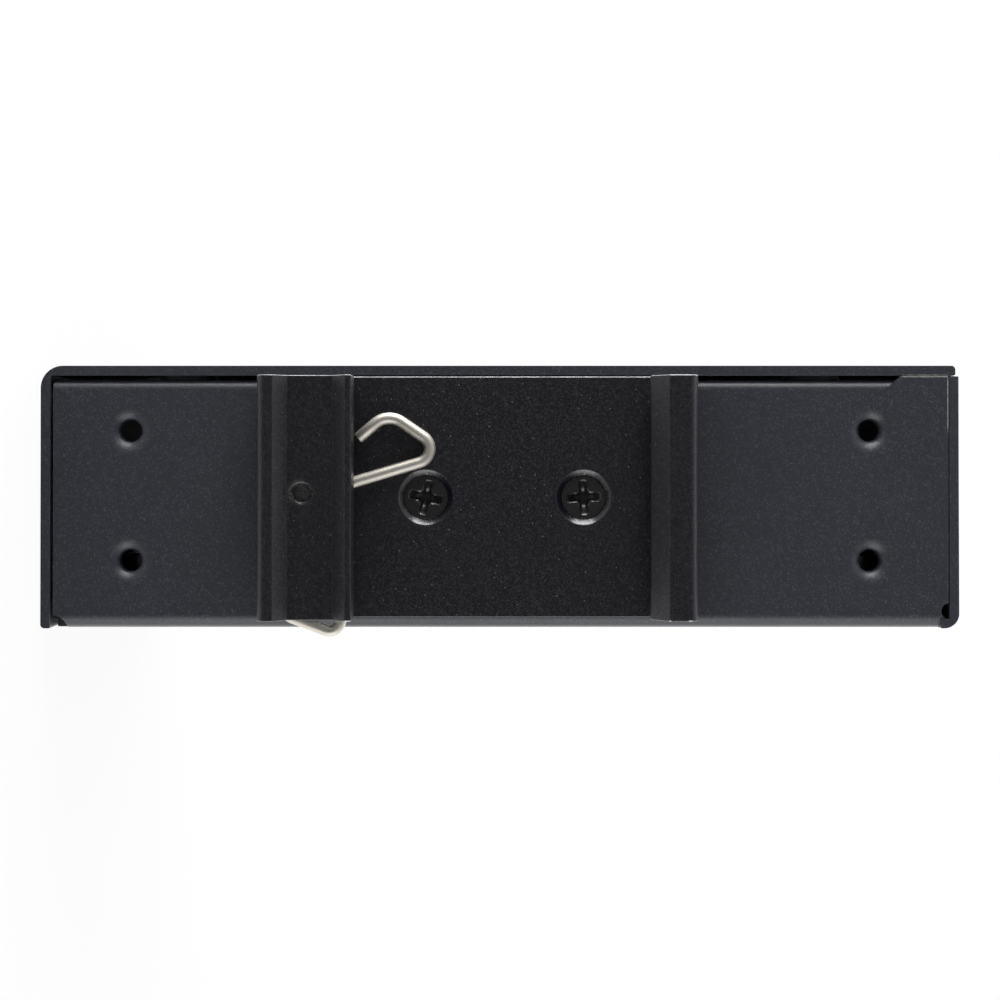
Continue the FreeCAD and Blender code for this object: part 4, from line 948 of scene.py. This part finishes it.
class SPLITTER_OT_case(Operator):
    """Make the folded chassis and cover, with drawn screw holes and coated edges"""

    bl_idname = "splitter.case"
    bl_label = "Case"

    def execute(self, context):
        look = context.scene.splitter.case
        coat = powder_coated_steel(look)
        chassis = remade("chassis", "folded_chassis")
        mouth = flared_mouth(look)
        cut(chassis, [turned(mouth, Matrix.Translation(place) @ FACING_BACK) for place in hole_places()])
        cover = remade("cover", "folded_cover")
        for piece, node in ((chassis, "chassis"), (cover, "cover")):
            piece.data.materials.append(coat)
            sort_edges(piece, look.straight, look.edge)
            round_edges(piece, look.edge, "WEIGHT")
            settle(piece)
            crease(piece)
            flatten_faces(piece)
            fit(piece, node)
        return {"FINISHED"}


class SPLITTER_OT_bracket(Operator):
    """Make the extruded rail bracket, with bare metal where it was sawn"""

    bl_idname = "splitter.bracket"
    bl_label = "Rail bracket"

    def execute(self, context):
        look = context.scene.splitter.bracket
        bracket = remade("din_bracket", "extruded_bracket")
        cut(bracket, [stake_dent(look)])
        bracket.data.materials.append(black_anodised_aluminium(look))
        round_edges(bracket, look.edge)
        flatten_faces(bracket)
        settle(bracket)
        bracket.data.materials.append(saw_cut_aluminium(look))
        bracket.data.materials.append(machined_countersink(look))
        bare_the_cut(bracket, look.edge)
        fit(bracket, "din_bracket")
        return {"FINISHED"}


class SPLITTER_OT_spring(Operator):
    """Bend the rail spring from one drawn wire"""

    bl_idname = "splitter.spring"
    bl_label = "Rail spring"

    def execute(self, context):
        look = context.scene.splitter.spring
        line = bent_line(SPRING_CORNERS, (SPRING_BOX[0].y + SPRING_BOX[1].y) / 2)
        spring = wire("bent_spring", line, look.diameter / 2, look.burr)
        spring.data.materials.append(nickel_plated_wire(look))
        fit(spring, "rail_spring")
        return {"FINISHED"}


# How the screws' crosses are turned, in degrees: the bracket's two, and one of the cover's to the next.
BRACKET_SCREW_TURNS = (-12.5, 3.0)
COVER_SCREW_TURN = 20.0


class SPLITTER_OT_screws(Operator):
    """Make the black screws of the bracket and the cover"""

    bl_idname = "splitter.screws"
    bl_label = "Screws"

    def execute(self, context):
        look = context.scene.splitter.screws
        oxide = black_oxide_steel(look)
        low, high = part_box("bracket_screws")
        places = []
        for spot, turn in zip(bracket_screw_places(), BRACKET_SCREW_TURNS):
            spin = Matrix.Rotation(math.radians(turn), 4, "Z")
            places.append(Matrix.Translation(spot) @ FACING_BACK @ spin)
        pair = screws("bracket_screw_pair", look, look.bracket_head, high.y - low.y, places)
        low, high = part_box("cover_screws")
        places = []
        for y in (low.y + look.cover_head, high.y - look.cover_head):
            for z in (low.z + look.cover_head, high.z - look.cover_head):
                turn = Matrix.Rotation(math.radians(COVER_SCREW_TURN) * len(places), 4, "Z")
                places.append(Matrix.Translation((low.x, y, z)) @ FACING_COVER @ turn)
        four = screws("cover_screw_set", look, look.cover_head, high.x - low.x, places)
        for piece, node in ((pair, "bracket_screws"), (four, "cover_screws")):
            piece.data.materials.append(oxide)
            fit(piece, node)
        return {"FINISHED"}


class SPLITTER_OT_sockets(Operator):
    """Finish the two jacks and the power socket"""

    bl_idname = "splitter.sockets"
    bl_label = "Sockets"

    def execute(self, context):
        look = context.scene.splitter.sockets
        # Tinned sheet is bright and slightly cloudy, with soft reflections.
        tin = plated_metal("tinned_sheet", look.tin, look.spangle, (0.20, 0.34))
        # Gold flashed on bronze is smooth and yellow.
        gold = plated_metal("gold_plated_bronze", look.gold, look.spangle, (0.14, 0.24))
        # Glass-filled polyester is black and satin from the eroded mould.
        insulator = moulded("moulded_polyester", look.insulator, look.sparks, 1.57, (0.42, 0.56))
        # Polyamide is mid green and satin, with a slight bloom.
        green = moulded("moulded_polyamide", look.green, look.sparks, 1.53, (0.36, 0.50))
        dress(["poe_jack_shield", "data_jack_shield", "dc_out_pins"], tin, look.edge / 2)
        dress(["poe_jack_insert", "data_jack_insert"], insulator, look.edge)
        dress(["poe_jack_contacts", "data_jack_contacts"], gold, look.edge / 2)
        dress(["dc_out_header"], green, look.edge)
        return {"FINISHED"}


class SPLITTER_OT_indicators(Operator):
    """Finish the lamps and their light pipes"""

    bl_idname = "splitter.indicators"
    bl_label = "Indicators"

    def execute(self, context):
        look = context.scene.splitter.indicators
        # Polycarbonate is clear and glossy, so the dark inside of the case shows through it.
        pipe = clear_moulding("moulded_polycarbonate", look.pipe, look.flow, 1.585, (0.03, 0.08))
        # Cast epoxy is clear with a faint tint and a soft skin.
        lens = clear_moulding("cast_epoxy", look.lens, look.flow, 1.54, (0.10, 0.22))
        dress(["light_pipes"], pipe)
        dress(["led_lamps"], lens)
        return {"FINISHED"}


class SPLITTER_OT_board(Operator):
    """Finish the circuit board and the parts on it"""

    bl_idname = "splitter.board"
    bl_label = "Board"

    def execute(self, context):
        look = context.scene.splitter.board
        # Zinc plate is pale grey and cloudy.
        zinc = plated_metal("zinc_plated_steel", look.zinc, look.cloud, (0.26, 0.42))
        # Filled epoxy is charcoal and matt, with a fine grain.
        package = moulded("moulded_epoxy", look.moulding, look.filler, 1.55, (0.50, 0.66))
        # Shrunk sleeve is smooth and glossy.
        sleeve = moulded("shrunk_sleeve", look.sleeve, look.ripple, 1.53, (0.18, 0.28))
        # Ground ferrite is dark grey and dull, with pores.
        ferrite = moulded("ground_ferrite", look.ferrite, look.filler, 2.2, (0.48, 0.70))
        # Phenolic is brown-black and satin.
        bobbin = moulded("moulded_phenolic", look.bobbin, look.filler, 1.6, (0.40, 0.55))
        dress(["pcb"], solder_masked_laminate(look))
        dress(["pcb_standoffs", "pcb_screws"], zinc)
        dress(
            ["line_transformers", "bridge_rectifiers", "surge_suppressor", "pd_controller", "power_mosfet",
             "output_rectifier", "optocoupler"],
            package,
        )
        dress(["input_capacitors", "output_capacitors"], sleeve)
        dress(["transformer_core", "output_inductor"], ferrite)
        dress(["transformer_bobbin"], bobbin)
        dress(["transformer_winding"], wound_tape(look))
        return {"FINISHED"}


def pale_floor(look):
    """Plain floor that is white to the eye where no shadow lies on it."""
    # Paper white: it lights the object as matt paper does, and only a faint shadow shows on it.
    finish, tree = new_finish("matt_paper")
    rays = add(tree, "LightPath")
    eye = add(
        tree, "Math",
        {0: rays.outputs["Is Camera Ray"], 1: rays.outputs["Is Glossy Ray"]},
        operation="MAXIMUM",
    )
    seen = add(tree, "Math", {0: eye, 1: rays.outputs["Is Transmission Ray"]}, operation="MAXIMUM")
    spot = add(tree, "NewGeometry").outputs["Position"]
    away = add(tree, "VectorMath", {0: spot}, operation="LENGTH")
    # From 0.2 m to 0.6 m away the faint shadow fades out.
    white_share = add(
        tree, "MapRange", {"Value": away.outputs["Value"], "From Min": 0.2, "From Max": 0.6, "To Min": 0.93}
    )
    share = add(tree, "Math", {0: seen, 1: white_share}, operation="MULTIPLY")
    paper = add(tree, "BsdfDiffuse", {"Color": opaque(look.floor)})
    white = add(tree, "Emission")
    mixed = add(tree, "MixShader", {0: share, 1: paper, 2: white})
    add(tree, "OutputMaterial", {"Surface": mixed})
    return finish


def light_tent(look):
    """White all round to the eye and in reflections, dimmer as light, and open towards the camera."""
    world = bpy.data.worlds.new("light_tent")
    world.use_nodes = True
    world.cycles.sampling_method = "NONE"
    tree = world.node_tree
    tree.nodes.clear()
    rays = add(tree, "LightPath")
    way = add(tree, "TexCoord").outputs["Generated"]
    facing = add(tree, "VectorMath", {0: way, 1: (0, -1, 0)}, operation="DOT_PRODUCT")
    # The far wall grows brighter away from the camera's side, and the opening darker towards the camera.
    bright = add(
        tree, "MapRange",
        {
            "Value": facing.outputs["Value"], "From Min": 0.0, "From Max": -0.6, "To Min": 1.0,
            "To Max": look.wall,
        },
    )
    wall = add(
        tree, "MapRange",
        {
            "Value": facing.outputs["Value"], "From Min": 0.85, "From Max": 0.1, "To Min": look.opening,
            "To Max": bright,
        },
        interpolation_type="SMOOTHSTEP",
    )
    light = add(
        tree, "MapRange", {"Value": rays.outputs["Is Glossy Ray"], "To Min": look.ambient, "To Max": wall}
    )
    through = add(
        tree, "Math",
        {0: rays.outputs["Is Camera Ray"], 1: rays.outputs["Is Transmission Ray"]},
        operation="MAXIMUM",
    )
    strength = add(tree, "MapRange", {"Value": through, "To Min": light})
    white = opaque((1, 1, 1))
    shade = add(tree, "Background", {"Color": white, "Strength": strength})
    add(tree, "OutputWorld", {"Surface": shade})
    return world


# The lamps: their middles and the lengths of their sides, in metres.
LAMPS = {
    "key": ((-0.60, -0.08, 0.04), 0.50),
    "fill": ((0.55, -0.30, -0.02), 0.50),
    "overhead": ((-0.10, 0.10, 0.80), 0.70),
    "front": ((-0.40, 0.75, 0.45), 0.60),
}


def soft_lamp(name, place, side, power):
    """A square lamp that faces the object."""
    light = bpy.data.lights.new(name, "AREA")
    light.size = side
    light.energy = power
    lamp = bpy.data.objects.new(name, light)
    lamp.location = place
    lamp.rotation_euler = (-Vector(place)).to_track_quat("-Z", "Y").to_euler()
    lamp.visible_camera = False
    bpy.context.scene.collection.objects.link(lamp)


class SPLITTER_OT_stage(Operator):
    """Set up the floor, the lamps and the camera that looks straight at the rail side"""

    bl_idname = "splitter.stage"
    bl_label = "Stage"

    def execute(self, context):
        look = context.scene.splitter.stage
        shape = bmesh.new()
        bmesh.ops.create_grid(shape, x_segments=1, y_segments=1, size=look.reach / 2)
        bmesh.ops.translate(shape, verts=shape.verts, vec=(0, 0, CAD_BOX[0][2]))
        mesh = bpy.data.meshes.new("floor")
        shape.to_mesh(mesh)
        shape.free()
        mesh.materials.append(pale_floor(look))
        floor = new_piece("floor", mesh)
        floor.visible_glossy = False
        context.scene.world = light_tent(look)
        for name, (place, side) in LAMPS.items():
            soft_lamp(name + "_lamp", place, side, getattr(look, name))
        camera = bpy.data.cameras.new("camera")
        camera.lens = look.lens
        camera.sensor_width = 36.0
        camera.shift_y = look.shift
        eye = bpy.data.objects.new("camera", camera)
        # The picture's right is +Z and its top is -X.
        spot = Vector((look.beside, -look.distance, -look.below))
        aim = Vector((look.aim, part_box("chassis")[0].y, -look.below))
        right = Vector((0, 0, 1))
        behind = (spot - aim).normalized()
        turn = Matrix((right, behind.cross(right), behind)).transposed()
        eye.matrix_world = Matrix.Translation(spot) @ turn.to_4x4()
        context.scene.collection.objects.link(eye)
        context.scene.camera = eye
        context.scene.view_settings.view_transform = "Standard"
        return {"FINISHED"}


STEPS = (
    (SPLITTER_OT_case, "case"),
    (SPLITTER_OT_bracket, "bracket"),
    (SPLITTER_OT_spring, "spring"),
    (SPLITTER_OT_screws, "screws"),
    (SPLITTER_OT_sockets, "sockets"),
    (SPLITTER_OT_indicators, "indicators"),
    (SPLITTER_OT_board, "board"),
    (SPLITTER_OT_stage, "stage"),
)


class SPLITTER_PT_panel(Panel):
    """Lists the steps with their sizes and colours"""

    bl_idname = "SPLITTER_PT_panel"
    bl_label = "Rail splitter"
    bl_space_type = "VIEW_3D"
    bl_region_type = "UI"
    bl_category = "Splitter"

    def draw(self, context):
        for step, group in STEPS:
            box = self.layout.box()
            box.operator(step.bl_idname)
            look = getattr(context.scene.splitter, group)
            for name in look.bl_rna.properties.keys():
                if name not in {"rna_type", "name"}:
                    box.prop(look, name)


CLASSES = (
    CaseLook, BracketLook, SpringLook, ScrewLook, SocketLook, IndicatorLook, BoardLook, StageLook,
    SplitterLook,
    *(step for step, _ in STEPS),
    SPLITTER_PT_panel,
)


def register():
    for kind in CLASSES:
        bpy.utils.register_class(kind)
    bpy.types.Scene.splitter = PointerProperty(type=SplitterLook)


def unregister():
    del bpy.types.Scene.splitter
    for kind in reversed(CLASSES):
        bpy.utils.unregister_class(kind)


def main():
    register()
    bpy.ops.splitter.case()
    bpy.ops.splitter.bracket()
    bpy.ops.splitter.spring()
    bpy.ops.splitter.screws()
    bpy.ops.splitter.sockets()
    bpy.ops.splitter.indicators()
    bpy.ops.splitter.board()
    bpy.ops.splitter.stage()


if __name__ == "__main__":
    main()
